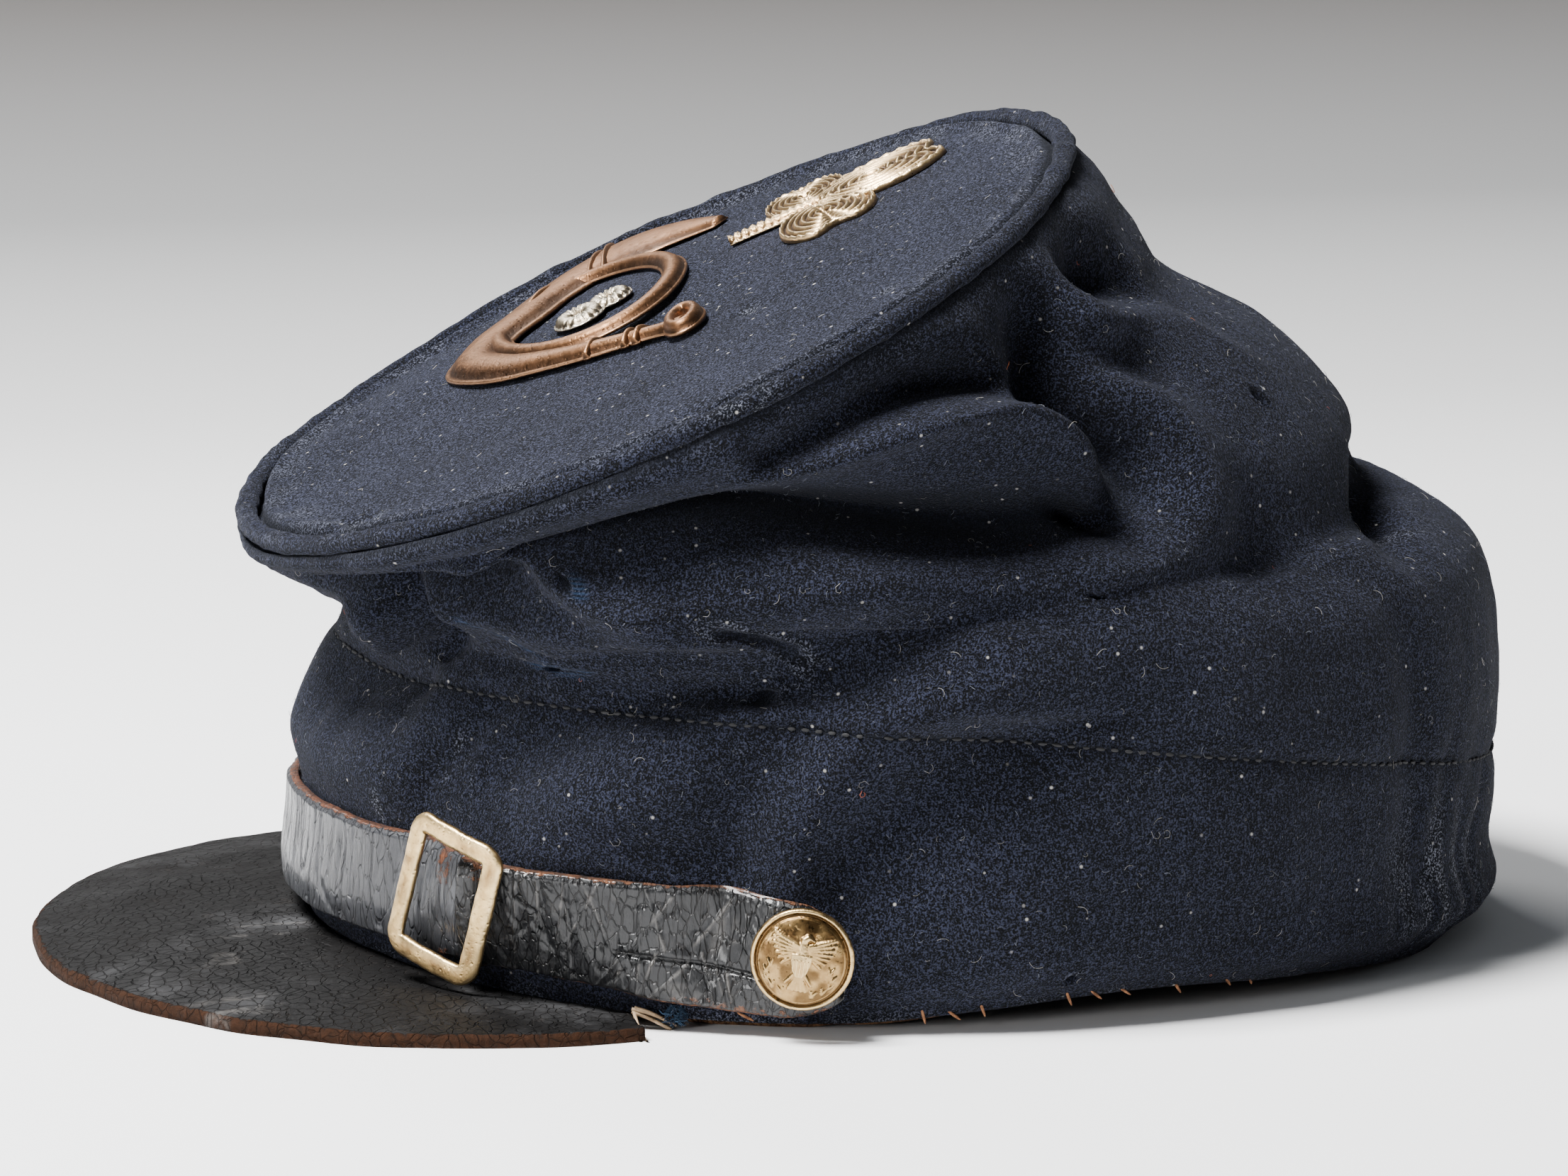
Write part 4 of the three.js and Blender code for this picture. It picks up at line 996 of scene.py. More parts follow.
FRONT_COLOURS = ((0.025, 0.026, 0.03), (0.1, 0.105, 0.115), (0.16, 0.05, 0.018))
SIDE_COLOURS = ((0.003, 0.0033, 0.004), (0.02, 0.021, 0.025), (0.16, 0.055, 0.018))
FRONT_WEAR = (260.0, (3, 3, 0.8), 0.8, 0.28, (0.4, 0.4))
SIDE_WEAR = (300.0, (2.4, 2.4, 1), 0.4, 0.22, (0.4, 0.3))
front_leather = leather_material("strap_leather_front", *FRONT_COLOURS, *FRONT_WEAR)
side_leather = leather_material("strap_leather_side", *SIDE_COLOURS, *SIDE_WEAR)


def strap(name, columns, end, face, material, patches):
    """One length of strap. Each patch worn through to the hide is a place, a half width, a half height and
    an amount.
    """
    rows = np.concatenate([np.linspace(-1, -0.86, 6), np.linspace(-0.82, 0.82, 40), np.linspace(0.86, 1, 6)])
    points, faces = closed_sheet(
        columns,
        rows,
        np.linspace(-1, 1, 8),
        lambda s, v: on_strap(s, v, end, face(s, v)[0]),
        lambda s, v: on_strap(s, v, end, 0.0),
        False,
    )
    made = piece(name, points, faces, material, "strap_leather")
    s, v = np.broadcast_arrays(columns[:, None], rows[None, :])
    y = v * STRAP_HALF
    height, broad, fine, edge = face(s, v)
    worn = 0.75 * edge**6 + 0.1 * fine + 0.06 * broad
    for *patch, amount in patches:
        worn = worn + amount * spot(s, y, *patch, 2) * (0.8 + 0.4 * lumps(s, y, 1.4, 91))
    mark(made, "worn", np.concatenate([worn.reshape(-1), np.full(len(points) - worn.size, 0.9)]))
    pale = np.clip(0.25 * ramp(lumps(s, v * 9, 3.5, 92) * 2) * ramp(lumps(s * 2, v * 2, 2, 93) * 2), 0, 1)
    # Painted highlights: the side strap's crease ridges are painted pale.
    if face is side_face:
        pale = np.maximum(pale, 0.6 * creases_at(s, y))
    mark(made, "pale", pale)
    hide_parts(name)


front_end = ROLL_AT - ROLL_REACH - 0.3
front_columns = np.concatenate([np.linspace(-tail + 0.4, -20, 150), np.linspace(-19.6, front_end, 280)])
roll_columns = np.linspace(ROLL_AT - ROLL_REACH, ROLL_AT, 26)
side_columns = np.concatenate([roll_columns, np.linspace(ROLL_AT + 0.2, tail - 0.4, 400)])
front_bare = [(50.3, 6.2, 2.0, 2.6, 0.9), (51, -7, 3, 1.0, 0.5)]
side_bare = [(96, -7.6, 12, 1.2, 0.6), (58, 7, 2, 1.5, 0.4)]
strap("strap_front", front_columns, -tail, front_face, front_leather, front_bare)
strap("strap_side", side_columns, tail, side_face, side_leather, side_bare)


# The slide: a frame of pale brass strip, rounded at its corners and rubbed bright, which stands over the
# join of the straps and leans with its top to the rear. It is held by its grip on the leather alone.
SLIDE_AT = (53.0, 11.9)
SLIDE_WIDTH = 17.2
SLIDE_HEIGHT = 22.4
SLIDE_BAR = 3.0
SLIDE_THICK = 1.1
SLIDE_CORNER = 3.4
SLIDE_LEAN = math.radians(13)
SLIDE_SEAT = STRAP_SEAT + STRAP_LEATHER + 1.6

# The section of the strip, from one edge over its face to the other and back beneath, with how rubbed and
# how tarnished each place of it is.
SLIDE_SECTION = {
    "across": [-1, -1, -0.86, -0.6, 0, 0.6, 0.86, 1, 1, 0.8, -0.8],
    "up": [0.12, 0.62, 0.9, 1.0, 1.06, 1.0, 0.9, 0.62, 0.12, 0, 0],
    "rubbed": [0.1, 0.5, 0.9, 0.4, 0.1, 0.4, 0.9, 0.5, 0.1, 0, 0],
    "tarnished": [1, 0.4, 0, 0, 0, 0, 0, 0.4, 1, 1, 1],
}


def on_wall(s, h, offset):
    """A frame standing on the wall: its third axis comes out of the cloth and its second goes up it."""
    at, low, high = (cloth(np.array(s), np.array(b), offset) for b in (h, h - 3, h + 3))
    up = (high - low) / np.linalg.norm(high - low)
    side = wall(s + 3.0, h) - wall(s - 3.0, h)
    side /= np.linalg.norm(side)
    out = np.cross(side, up)
    out /= np.linalg.norm(out)
    return at, np.stack([np.cross(up, out), up, out])


def seated(points, seat):
    at, axes = seat
    return at + np.asarray(points) @ axes


def brass_material(name, bright, brown, dark, tarnish, rough, rubbed):
    """Stamped brass: bright where rubbed, browned in its hollows, with pits and small spots."""
    made, tree, shader, place = finish_of(name, {"Metallic": 1.0})
    cloud = noise(tree, place, 150.0, 5.0, 0.65)
    spots = noise(tree, place, 900.0, 3.0, 0.7)
    pits = node(tree, "ShaderNodeTexVoronoi", {"Vector": place, "Scale": 1100.0}).outputs["Distance"]
    hollow = masked(tree, "hollow")
    low = plus(tree, spread(tree, cloud, 0.35, 0.7), spread(tree, spots, 0.4, 0.7, -0.3, 0.3))
    colour = blended(tree, times(tree, plus(tree, low, hollow), tarnish), bright, brown)
    colour = blended(tree, times(tree, hollow, 0.9), colour, dark)
    colour = blended(tree, times(tree, masked(tree, "ridge"), 0.7), colour, rubbed)
    tree.links.new(colour, shader.inputs["Base Color"])
    tree.links.new(spread(tree, spots, 0.3, 0.7, rough - 0.08, rough + 0.16), shader.inputs["Roughness"])
    bumped(tree, shader, plus(tree, spots, spread(tree, pits, 0.3, 0.05, 0.0, -0.6)), 0.00012, 0.6)
    return made


SLIDE_COLOURS = ((0.74, 0.5, 0.21), (0.32, 0.17, 0.06), (0.1, 0.05, 0.02))
slide_brass = brass_material("slide_brass", *SLIDE_COLOURS, 0.7, 0.34, (0.86, 0.66, 0.35))
mid_x = (SLIDE_WIDTH - SLIDE_BAR) / 2
mid_y = (SLIDE_HEIGHT - SLIDE_BAR) / 2
bend = SLIDE_CORNER - SLIDE_BAR / 2
corners = []
for corner_x, corner_y, start in ((1, -1, -90), (1, 1, 0), (-1, 1, 90), (-1, -1, 180)):
    for step in np.linspace(0, 90, 9):
        a = math.radians(start + step)
        corners.append((corner_x * (mid_x - bend), corner_y * (mid_y - bend), math.cos(a), math.sin(a)))
corners = np.array(corners)
path = []
for this, after in zip(corners, np.roll(corners, -1, 0)):
    path.append(this)
    if np.linalg.norm(after[:2] + bend * after[2:] - this[:2] - bend * this[2:]) > 2:
        path += [this * (1 - t) + after * t for t in np.linspace(0, 1, 14)[1:-1]]
slide_points = []
for k, (cx, cy, nx, ny) in enumerate(path):
    uneven = 1 + 0.03 * math.sin(k * 0.9) + 0.02 * math.sin(k * 2.3)
    for side, up in zip(SLIDE_SECTION["across"], SLIDE_SECTION["up"]):
        reach = bend + side * SLIDE_BAR / 2 * uneven
        slide_points.append((cx + nx * reach, cy + ny * reach, up * SLIDE_THICK))
slide_points = np.array(slide_points)
slide_points[:, 2] += 0.25 * np.sin(slide_points[:, 1] * 0.13) - 0.012 * slide_points[:, 0] ** 2 + 0.3
slide_points[:, :2] = slide_points[:, :2] @ np.array(Matrix.Rotation(-SLIDE_LEAN, 2)).T
slide_faces = grid_faces(len(path), len(SLIDE_SECTION["up"]), True, turned=True)
slide_places = seated(slide_points, on_wall(*SLIDE_AT, SLIDE_SEAT))
slide = piece("strap_slide", slide_places, slide_faces, slide_brass, "pale_brass")
mark(slide, "ridge", np.tile(SLIDE_SECTION["rubbed"], len(path)))
blotch = ramp(-0.2 + 1.6 * unevenness(slide_points[:, 0], slide_points[:, 1], 1.8, 101))
mark(slide, "hollow", 0.55 * blotch + 0.3 * np.tile(SLIDE_SECTION["tarnished"], len(path)))
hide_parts("strap_slide")


# The side buttons: 15 mm domed brass stampings with a rolled rim. The die is a plain heraldic bird with
# spread wings over a striped shield, between two sprigs.
BUTTON_H = 10.2
BUTTON_SEAT = STRAP_SEAT + STRAP_LEATHER + 0.8
FIELD_RADIUS = 6.1
BUTTON_RIM = {
    "r": [6.45, 6.6, 6.75, 6.9, 7.1, 7.3, 7.45, 7.5, 7.45, 7.3, 6.9],
    "up": [1.12, 1.1, 1.2, 1.38, 1.45, 1.35, 1.15, 0.8, 0.45, 0.1, 0.0],
}


def capsule(x, y, ax, ay, bx, by, wide_a, wide_b):
    """How far inside a tapering stroke each place lies, 1 on its middle line and 0 at its edge."""
    dx, dy = bx - ax, by - ay
    t = np.clip(((x - ax) * dx + (y - ay) * dy) / (dx * dx + dy * dy), 0, 1)
    away = np.hypot(x - ax - t * dx, y - ay - t * dy) / (wide_a + (wide_b - wide_a) * t)
    return np.sqrt(np.clip(1 - away**2, 0, 1))


def bird_relief(x, y):
    """The die of the button: body, head and beak, then wings, legs and sprigs, then tail and shield."""
    strokes = [
        (0.62, 0, 0.9, 0, 2.6, 1.25, 0.75),
        (0.7, 0.05, 3.3, 0.5, 3.75, 0.62, 0.55),
        (0.6, 0.9, 3.7, 1.45, 3.4, 0.3, 0.1),
    ]
    for side in (-1, 1):
        for k in range(7):
            t = k / 6
            root_x, root_y = side * (0.8 + 0.5 * t), 2.5 - 1.5 * t
            tip_x, tip_y = side * (2.7 + 2.1 * math.sin(1.0 + 1.4 * t) - 1.3 * t), 3.9 - 4.3 * t
            strokes.append((0.5 - 0.03 * k, root_x, root_y, tip_x, tip_y, 0.5, 0.26))
        strokes.append((0.4, side * 0.6, -1.6, side * 1.9, -3.2, 0.35, 0.22))
        for k in range(5):
            a = math.radians(-62 + 22 * k)
            bx, by = side * 5.2 * math.cos(a) * 0.92, 5.2 * math.sin(a) * 0.55 - 2.3
            strokes.append((0.35, bx, by, bx + side * 0.55, by + 0.75, 0.36, 0.16))
            strokes.append((0.3, bx, by, bx - side * 0.25, by + 0.8, 0.3, 0.14))
    for k in range(5):
        strokes.append((0.42, 0, -1.2, (k - 2) * 0.62, -4.1, 0.4, 0.3))
    raised = np.zeros(x.shape)
    for height, *stroke in strokes:
        raised = np.maximum(raised, height * capsule(x, y, *stroke))
    narrowing = np.sqrt(np.clip(1 - ((0.9 - y) / 3.1).clip(0, 1) ** 2, 0, 1))
    shield = (np.abs(x) < 1.45 * narrowing) & (y < 1.25) & (y > -2.1)
    stripes = 0.72 + 0.1 * np.cos(x * 2 * np.pi / 0.52) * (y < 0.45)
    return np.where(shield, stripes, raised)


BUTTON_COLOURS = ((0.42, 0.27, 0.11), (0.2, 0.105, 0.036), (0.045, 0.023, 0.01))
button_brass = brass_material("button_brass", *BUTTON_COLOURS, 0.5, 0.3, (0.76, 0.56, 0.28))
dome_r = np.linspace(0.05, 6.3, 74)
dome_up = 1.1 + 2.0 * np.sqrt(np.clip(1 - (dome_r / 6.85) ** 2, 0, 1))
button_r = np.concatenate([dome_r, BUTTON_RIM["r"]])
button_x, button_y = round_grid(button_r, np.linspace(0, 2 * np.pi, 150, endpoint=False))
relief = bird_relief(button_x, button_y)
field = (button_r < FIELD_RADIUS)[:, None]
button_z = np.concatenate([dome_up, BUTTON_RIM["up"]])[:, None] + 0.85 * np.where(field, relief, 0)
button_z = button_z + 0.05 * unevenness(button_x, button_y, 0.9, 111)
ridge = np.where(field, ramp(relief * 1.5 - 0.3), np.exp(-(((button_r - 7.1) / 0.25) ** 2))[:, None])
stained = 0.75 * (relief < 0.06) * ramp(0.65 + unevenness(button_x, button_y, 1.4, 112))
hollow = np.where(field, stained, 0.0) + 0.8 * np.exp(-(((button_r - 6.5) / 0.3) ** 2))[:, None]
for name, s, turn in (("button_left", STRAP_BUTTON, -6), ("button_right", -STRAP_BUTTON, 9)):
    a = math.radians(turn)
    x = button_x * math.cos(a) - button_y * math.sin(a)
    y = button_x * math.sin(a) + button_y * math.cos(a)
    points, faces = ringed(np.stack([x, y, button_z], -1))
    places = seated(points, on_wall(s, BUTTON_H, BUTTON_SEAT))
    button = piece(name, places, faces, button_brass, "pale_brass")
    mark(button, "ridge", ridge)
    mark(button, "hollow", hollow)
    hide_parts(name)


# The badges on the top: a bugle horn of thin brown brass, a silvered figure in its loop, and a clover of
# pale brass behind them. Each is stamped hollow from sheet, and its prongs go through the wool.
BADGE_SECTION = {
    "across": [-1, -1, -0.93, -0.8, -0.66, -0.4, 0, 0.4, 0.66, 0.8, 0.93, 1, 1],
    "up": [0, 0.2, 0.28, 0.3, 0.62, 0.9, 1, 0.9, 0.62, 0.3, 0.28, 0.2, 0],
    "rubbed": [0, 0.9, 0.9, 0.1, 0, 0.3, 0.8, 0.3, 0, 0.1, 0.9, 0.9, 0],
    "tarnished": [1, 0.3, 0.1, 0.9, 0.5, 0, 0, 0, 0.5, 0.9, 0.1, 0.3, 1],
}


def stamped_strip(u, w, half, crest, closed=False, fine=5, ribs=0.0, pitch=1.0, base=0.15):
    """A stamped strip along stations on the top, made finer along its length, with a flat border."""
    last = len(u) - (0 if closed else 1)
    t = np.linspace(0, last, last * fine + (0 if closed else 1), endpoint=not closed)

    def column(values):
        if closed:
            knots = np.arange(-2, len(u) + 3)
            return along(knots, np.take(values, knots, mode="wrap"), t)
        return along(np.arange(len(u)), values, t)

    cu, cw, ch, cc = column(u), column(w), column(half), column(crest)
    if closed:
        du = np.roll(cu, -1) - np.roll(cu, 1)
        dw = np.roll(cw, -1) - np.roll(cw, 1)
    else:
        du, dw = np.gradient(cu), np.gradient(cw)
    length = np.hypot(du, dw)
    run = np.concatenate([[0], np.cumsum(np.hypot(np.diff(cu), np.diff(cw)))])
    side, up, rubbed, tarnished = (np.array(values) for values in BADGE_SECTION.values())
    pu = cu[:, None] + ch[:, None] * side * (dw / length)[:, None]
    pw = cw[:, None] - ch[:, None] * side * (du / length)[:, None]
    wavy = ribs * np.cos(2 * np.pi * (run[:, None] / pitch + side[None, :] * 0.35)) * (up[None, :] > 0.25)
    rings = on_top(pu, pw, base + up[None, :] * cc[:, None] + wavy)
    if closed:
        points, faces = rings.reshape(-1, 3), grid_faces(len(cu), len(side), True, turned=True)
    else:
        points, faces = ringed(rings, turned=True)
    hollow = tarnished + 0.8 * ramp(-wavy / max(ribs, 0.01))
    return points, faces, np.tile(rubbed, len(cu)), hollow.reshape(-1)


def gathered(parts):
    """Several closed forms as one: their places, their faces and then any masks, end to end."""
    points, faces, *masks = zip(*parts)
    starts = np.cumsum([0, *map(len, points)]).tolist()
    joined = [[start + k for k in face] for start, part in zip(starts, faces) for face in part]
    return np.concatenate(points), joined, *map(np.concatenate, masks)


def badge(name, parts, material, slot):
    points, faces, ridge, hollow = gathered(parts)
    made = piece(name, points, faces, material, slot)
    mark(made, "ridge", np.clip(ridge, 0, 1))
    mark(made, "hollow", np.clip(hollow, 0, 1))
    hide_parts(name)


def oval(u, w, half_u, half_w, half, crest, turn=0.0, count=28):
    """The stations of a closed strip that runs round an oval."""
    a = np.linspace(0, 2 * np.pi, count, endpoint=False)
    x, y = half_u * np.cos(a), half_w * np.sin(a)
    spin = math.radians(turn)
    round_u = u + x * math.cos(spin) - y * math.sin(spin)
    round_w = w + x * math.sin(spin) + y * math.cos(spin)
    return round_u, round_w, np.full(count, half), np.full(count, crest)


def collar(u, w, turn, half, high):
    """A raised band across the tube of the horn."""
    a = math.radians(turn)
    reach = np.linspace(-half, half, 7)
    crest = high * (0.45 + 0.55 * np.cos(reach / half * 1.3))
    return stamped_strip(u + reach * math.cos(a), w + reach * math.sin(a), np.full(7, 0.75), crest, fine=4)


HORN = {
    "u": [11.5, 8.5, 5.5, 1.5, -5, -13, -24, -34, -41, -47, -52.5, -55, -52, -45],
    "w": [3.5, 0, -4, -9.5, -16, -22, -25.5, -22, -16, -11, -4, 4.5, 11.5, 18.3],
    "half": [2.6, 1.7, 1.9, 2.4, 3.2, 4.4, 5, 5.2, 5.4, 5.6, 6.6, 8.2, 6.2, 1.8],
    "crest": [1.8, 1.6, 1.7, 1.9, 2, 2.1, 2.2, 2.3, 2.3, 2.3, 2.3, 2.1, 1.7, 1.2],
}
# Where each collar crosses the tube: place, turn, half length and height.
COLLARS = [
    (-54.2, 0.8, 166, 7.4, 2.9),
    (-53.4, -1.4, 162, 7.0, 2.8),
    (-46.6, -11.3, 142, 5.8, 2.8),
    (6.6, -2.6, -40, 2.2, 2.2),
    (5.4, -4.2, -40, 2.3, 2.2),
    (1.5, -9.5, -42, 2.6, 2.3),
]
HORN_COLOURS = ((0.24, 0.115, 0.052), (0.1, 0.048, 0.024), (0.025, 0.013, 0.008))
horn_brass = brass_material("horn_brass", *HORN_COLOURS, 0.7, 0.4, (0.36, 0.2, 0.11))
tube = stamped_strip(*HORN.values(), fine=14)
loop = stamped_strip(*oval(-27.5, -6.5, 21, 14.3, 2.1, 1.8), closed=True, base=0.3)
cup = stamped_strip(*oval(10.8, 3.8, 4.4, 2.0, 1.4, 2.2, -12, 20), closed=True, fine=3, base=0.4)
badge("horn_badge", [tube, loop, cup, *(collar(*row) for row in COLLARS)], horn_brass, "brown_brass")

SILVER_COLOURS = ((0.56, 0.48, 0.35), (0.28, 0.21, 0.13), (0.05, 0.036, 0.024))
silvered_metal = brass_material("silvered_metal", *SILVER_COLOURS, 0.6, 0.36, (0.8, 0.73, 0.6))
figure_loops = [oval(-26, -3, 2.5, 2.1, 1.6, 1.2, 0, 18), oval(-23.4, -8.4, 3.2, 2.4, 1.8, 1.3, 0, 18)]
figure = [stamped_strip(*stations, closed=True, fine=4, ribs=0.2, pitch=0.9) for stations in figure_loops]
badge("number_badge", figure, silvered_metal, "white_metal")


def leaf(from_u, from_w, to_u, to_w, half):
    """A heart-shaped leaf: notched at its far end, ribbed in rings and edged with a rope border."""
    axis = np.array([to_u - from_u, to_w - from_w])
    length = np.linalg.norm(axis)
    ahead = axis / length
    aside = np.array([ahead[1], -ahead[0]])
    around, ropes = 96, 30
    a = np.linspace(np.pi, -np.pi, around, endpoint=False)
    outline_y = np.cos(a) * 0.56 * length + 0.06 * length - 0.16 * length * np.exp(-((a / 0.32) ** 2))
    outline_x = np.sin(a) * half * (1 + 0.1 * np.cos(a))
    t = np.linspace(0.02, 1.0, 52)[:, None]
    rope = 0.16 * np.cos(2 * np.pi * np.arange(around) / around * ropes)
    x = t * outline_x
    y = t * outline_y + 0.44 * length
    body = 0.95 * np.sqrt(np.clip(1 - (t * 0.96) ** 2.4, 0, 1))
    ribs = 0.24 * np.cos(t * 2 * np.pi * 6.4) * ramp((0.92 - t) / 0.05)
    border = np.exp(-(((t - 0.95) / 0.035) ** 2))
    vein = -0.35 * np.exp(-((x / (0.07 * half)) ** 2)) * (t < 0.9)
    z = 0.3 + 0.8 * body + ribs + border * (0.45 + rope) + vein
    z[-1] = 0.1
    rings = on_top(from_u + ahead[0] * y + aside[0] * x, from_w + ahead[1] * y + aside[1] * x, z)
    ridge = ramp((ribs / 0.24) * 0.8 + border * 0.9)
    hollow = ramp(-ribs / 0.24) * 1.2 + 0.8 * np.exp(-(((t - 0.885) / 0.025) ** 2)) - vein
    return *ringed(rings, turned=True), np.repeat(ridge, around), hollow.reshape(-1)


STEM = {
    "u": [-24.2, -23.4, -22.3, -21.5],
    "w": [17, 21, 26, 32],
    "half": [1.3, 1.4, 1.6, 1.5],
    "crest": [1.2, 1.3, 1.4, 1.5],
}
CLOVER_COLOURS = ((0.52, 0.34, 0.16), (0.24, 0.13, 0.055), (0.045, 0.022, 0.01))
clover_brass = brass_material("clover_brass", *CLOVER_COLOURS, 0.5, 0.34, (0.8, 0.62, 0.37))
leaves = [leaf(-21.5, 30.5, -3, 31.5, 7.8), leaf(-21.5, 30, -38.5, 31, 6.6), leaf(-21, 30.5, -22, 52, 9.6)]
stem = stamped_strip(*STEM.values(), fine=10, ribs=0.28, pitch=1.3)
badge("clover_badge", [*leaves, stem], clover_brass, "pale_brass")


# The sweatband: a strip of plain brown leather inside the band, sewn to the base edge. It hangs a little
# below the cloth at the front and sides, where it shows as a brown line.
LINER_RISE = 22.4
LINER_LEATHER = 1.5
SWEAT_COLOURS = ((0.1, 0.045, 0.02), (0.2, 0.1, 0.05), (0.32, 0.16, 0.075))
sweat_leather = leather_material("sweat_leather", *SWEAT_COLOURS, 420.0, (1, 1, 1), 0.5, 0.55, (0.3, 0.0))


def liner(s, h, depth=0.0):
    s, h = np.broadcast_arrays(np.asarray(s, float), np.asarray(h, float))
    place = cloth(s, h, -CLOTH - 0.9 - depth)
    from_front = np.abs((s + GIRTH / 2) % GIRTH - GIRTH / 2)
    hang = 1.1 * ramp((160 - from_front) / 50)
    low = np.maximum(wall(s, 0 * h)[..., 2] - hang + 0.4 * lumps(s, h, 6, 121), 0.1)
    place[..., 2] = np.where(h <= 0, low, place[..., 2])
    return place


def liner_inside(s, h):
    return liner(s, h, LINER_LEATHER)


liner_columns = np.linspace(0, GIRTH, 420, endpoint=False)
liner_rows = np.linspace(0, LINER_RISE, 26)
inner_rows = np.linspace(0, LINER_RISE, 10)
points, faces = closed_sheet(liner_columns, liner_rows, inner_rows, liner, liner_inside, True)
sweatband = piece("sweatband", points, faces, sweat_leather, "lining_leather")
mark(sweatband, "worn", 0.8 * np.exp(-points[:, 2] / 2.0))
mark(sweatband, "pale", np.zeros(len(points)))
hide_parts("sweatband")


# Lint and loose fibres: short bright wool fibres that stand out of the nap, curls of off-white lint that
# have settled on it, and a few red and straw-coloured threads. One tree scatters them over the wool.
strewing, given = tree_of(
    "strewn_fibres",
    {
        "Density": 10000.0,
        "Thickness": 0.00004,
        "Shortest": 0.5,
        "Longest": 2.0,
        "Tilt": 0.3,
        "Segments": 4,
        "Seed": 1,
    },
)
feeds = {"Resolution": 3, "Radius": given["Thickness"]}
fibre_side = node(strewing, "GeometryNodeCurvePrimitiveCircle", feeds, mode="RADIUS").outputs[0]
feeds = {"Start": (-0.0007, 0.0, 0.0), "Middle": (0.0001, 0.0006, 0.0003), "End": (0.0007, -0.0001, 0.0001)}
bow = node(strewing, "GeometryNodeCurveQuadraticBezier", {"Resolution": given["Segments"], **feeds})
feeds = {"Rotations": 0.85, "Start Radius": 0.0002, "End Radius": 0.0006, "Height": 0.0002}
curl = node(strewing, "GeometryNodeCurveSpiral", {"Resolution": given["Segments"], **feeds})
feeds = {"Resolution": given["Segments"], "Radius": 0.0006, "Sweep Angle": math.radians(130)}
hook = node(strewing, "GeometryNodeCurveArc", feeds)
kinds = node(strewing, "GeometryNodeGeometryToInstance")
for kind in (bow, curl, hook):
    feeds = {"Curve": kind.outputs[0], "Profile Curve": fibre_side}
    strewing.links.new(node(strewing, "GeometryNodeCurveToMesh", feeds).outputs[0], kinds.inputs[0])
feeds = {"Mesh": given["Geometry"], "Density": given["Density"], "Seed": given["Seed"]}
settled = node(strewing, "GeometryNodeDistributePointsOnFaces", feeds, distribute_method="RANDOM").outputs
tilts = {"X": given["Tilt"], "Y": given["Tilt"], "Z": 2 * math.pi}
most = node(strewing, "ShaderNodeCombineXYZ", tilts).outputs[0]
feeds = {0: (0.0, 0.0, 0.0), 1: most, "Seed": given["Seed"]}
tossed = node(strewing, "FunctionNodeRandomValue", feeds, data_type="FLOAT_VECTOR").outputs[0]
feeds = {0: settled["Rotation"], 1: tossed}
laid = node(strewing, "FunctionNodeRotateRotation", feeds, rotation_space="LOCAL").outputs[0]
grown = node(strewing, "FunctionNodeRandomValue", {"Seed": given["Seed"]}, data_type="FLOAT").outputs[1]
feeds = {"To Min": given["Shortest"], "To Max": given["Longest"]}
sized = node(strewing, "ShaderNodeMapRange", {"Value": maths(strewing, "POWER", grown, 2.5), **feeds})
feeds = {"Points": settled["Points"], "Instance": kinds.outputs[0], "Pick Instance": True}
feeds.update({"Rotation": laid, "Scale": sized.outputs["Result"]})
ended(strewing, node(strewing, "GeometryNodeInstanceOnPoints", feeds).outputs[0])


def skin(grid):
    """An open sheet over a grid of places, used only to strew on."""
    return source_of("skin", grid, faces=grid_faces(*grid.shape[:2], across_wraps=False))


short_fibre = plain_material("short_fibre", (0.03, 0.034, 0.05), (0.16, 0.17, 0.2), 500, 0.9)
pale_lint = plain_material("pale_lint", (0.2, 0.19, 0.17), (0.46, 0.44, 0.4), 300, 0.9)
red_lint = plain_material("red_lint", (0.3, 0.03, 0.03), (0.5, 0.2, 0.06), 300, 0.9)
wall_skin = skin(cloth(np.linspace(0, GIRTH, 620)[:, None], np.linspace(1.5, 97, 130)[None, :], 0.02, True))
disc_u, disc_w = round_grid(np.linspace(1, 62, 40)[::-1], np.linspace(0, 2 * np.pi, 120))
disc_skin = skin(on_top(disc_u, disc_w, top_height(disc_u, disc_w) + 0.02))
STREWN = ("Density", "Thickness", "Shortest", "Longest", "Tilt", "Segments", "Seed")
FIBRES = {
    "wall_fibres": (wall_skin, short_fibre, (200000.0, 0.00004, 0.3, 0.9, 0.8, 2, 5)),
    "wall_lint": (wall_skin, pale_lint, (26000.0, 0.000016, 0.2, 1.7, 0.3, 7, 6)),
    "wall_threads": (wall_skin, red_lint, (500.0, 0.00004, 0.5, 2.0, 0.3, 7, 7)),
    "top_fibres": (disc_skin, short_fibre, (200000.0, 0.00004, 0.3, 0.9, 0.8, 2, 8)),
    "top_lint": (disc_skin, pale_lint, (40000.0, 0.000018, 0.2, 1.9, 0.3, 7, 9)),
}
for name, (source, material, row) in FIBRES.items():
    made_plain(name, source, strewing, dict(zip(STREWN, row)), material)
thrown_away(wall_skin)
thrown_away(disc_skin)


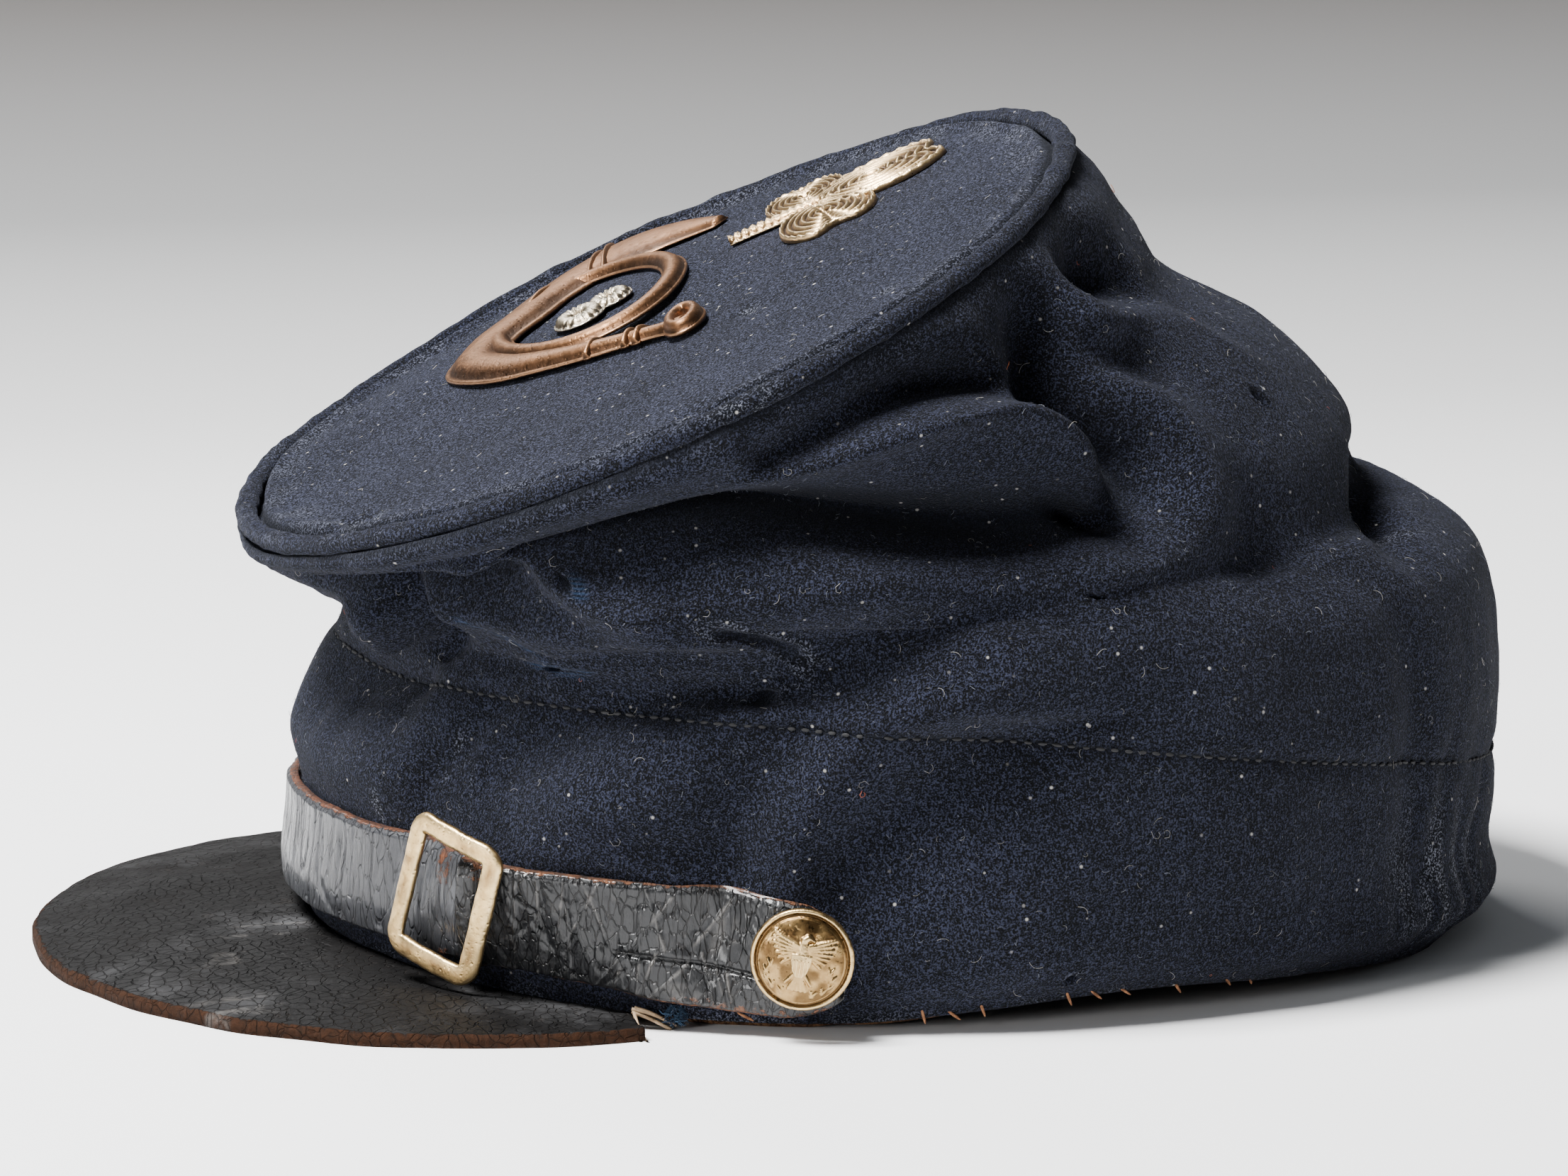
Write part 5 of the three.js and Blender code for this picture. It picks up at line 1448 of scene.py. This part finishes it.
# The tuft of blue wool that has frayed out of the peak's seam, and the stiff straw-coloured ends of its
# old sewing thread, some lying back along the edge and two reaching down to the table.
tuft_blue = plain_material("tuft_blue", (0.004, 0.008, 0.02), (0.03, 0.07, 0.13), 900, 0.9)
straw = plain_material("straw_thread", (0.2, 0.12, 0.06), (0.5, 0.36, 0.22), 500, 0.7)
tuft_at = cloth(86.5, 0.6, 1.0)
a = np.linspace(0, 2 * np.pi, 12)[:, None]
b = np.linspace(0.2, np.pi - 0.2, 8)[None, :]
tuft_x = 1.0 * np.sin(b) * np.cos(a)
tuft_y = 1.7 * np.sin(b) * np.sin(a)
tuft_skin = skin(tuft_at + np.stack([tuft_x, tuft_y, 1.5 * np.cos(b) + 0 * a], -1))
tuft_row = (9000000.0, 0.00006, 0.5, 1.6, 1.2, 5, 12)
made_plain("blue_tuft", tuft_skin, strewing, dict(zip(STREWN, tuft_row)), tuft_blue)
thrown_away(tuft_skin)

THREAD_RADIUS = 0.26
# Each thread is three places from its root, in millimetres from threads_from.
THREADS = [
    [(0, 0, 0), (0.6, 3.2, -0.9), (1.0, 6.4, -2.4)],
    [(0.1, 0, -0.4), (0.8, 2.8, -1.5), (1.2, 5.6, -3.0)],
    [(0, 0.4, 0.2), (0.5, 2.4, -0.4), (0.9, 4.2, -1.3)],
    [(0, 0.3, -0.5), (3.6, 0.5, -2.2), (8.0, 0.2, -3.8)],
    [(3.2, 0.5, -2.0), (6.4, 0.9, -2.9), (8.4, 1.2, -3.7)],
]
threads_from = cloth(80.5, 1.6, 2.4)
thread_turns = np.linspace(0, 2 * np.pi, 6, endpoint=False)
thread_forms = []
for bends in THREADS:
    columns = [along(np.arange(3), column, np.linspace(0, 2, 16)) for column in zip(*bends)]
    places = threads_from + np.stack(columns, -1)
    ahead = np.gradient(places, axis=0)
    ahead /= np.linalg.norm(ahead, axis=-1, keepdims=True)
    aside = np.cross(ahead, (1.0, 0.0, 0.0))
    aside /= np.linalg.norm(aside, axis=-1, keepdims=True)
    third = np.cross(ahead, aside)
    sides = [places + THREAD_RADIUS * (aside * math.cos(t) + third * math.sin(t)) for t in thread_turns]
    thread_forms.append(ringed(np.stack(sides, 1), turned=True))
thread_points, thread_faces = gathered(thread_forms)
thread_points[:, 2] = np.maximum(thread_points[:, 2], 0.02)
piece("straw_threads", thread_points, thread_faces, straw, "wool")
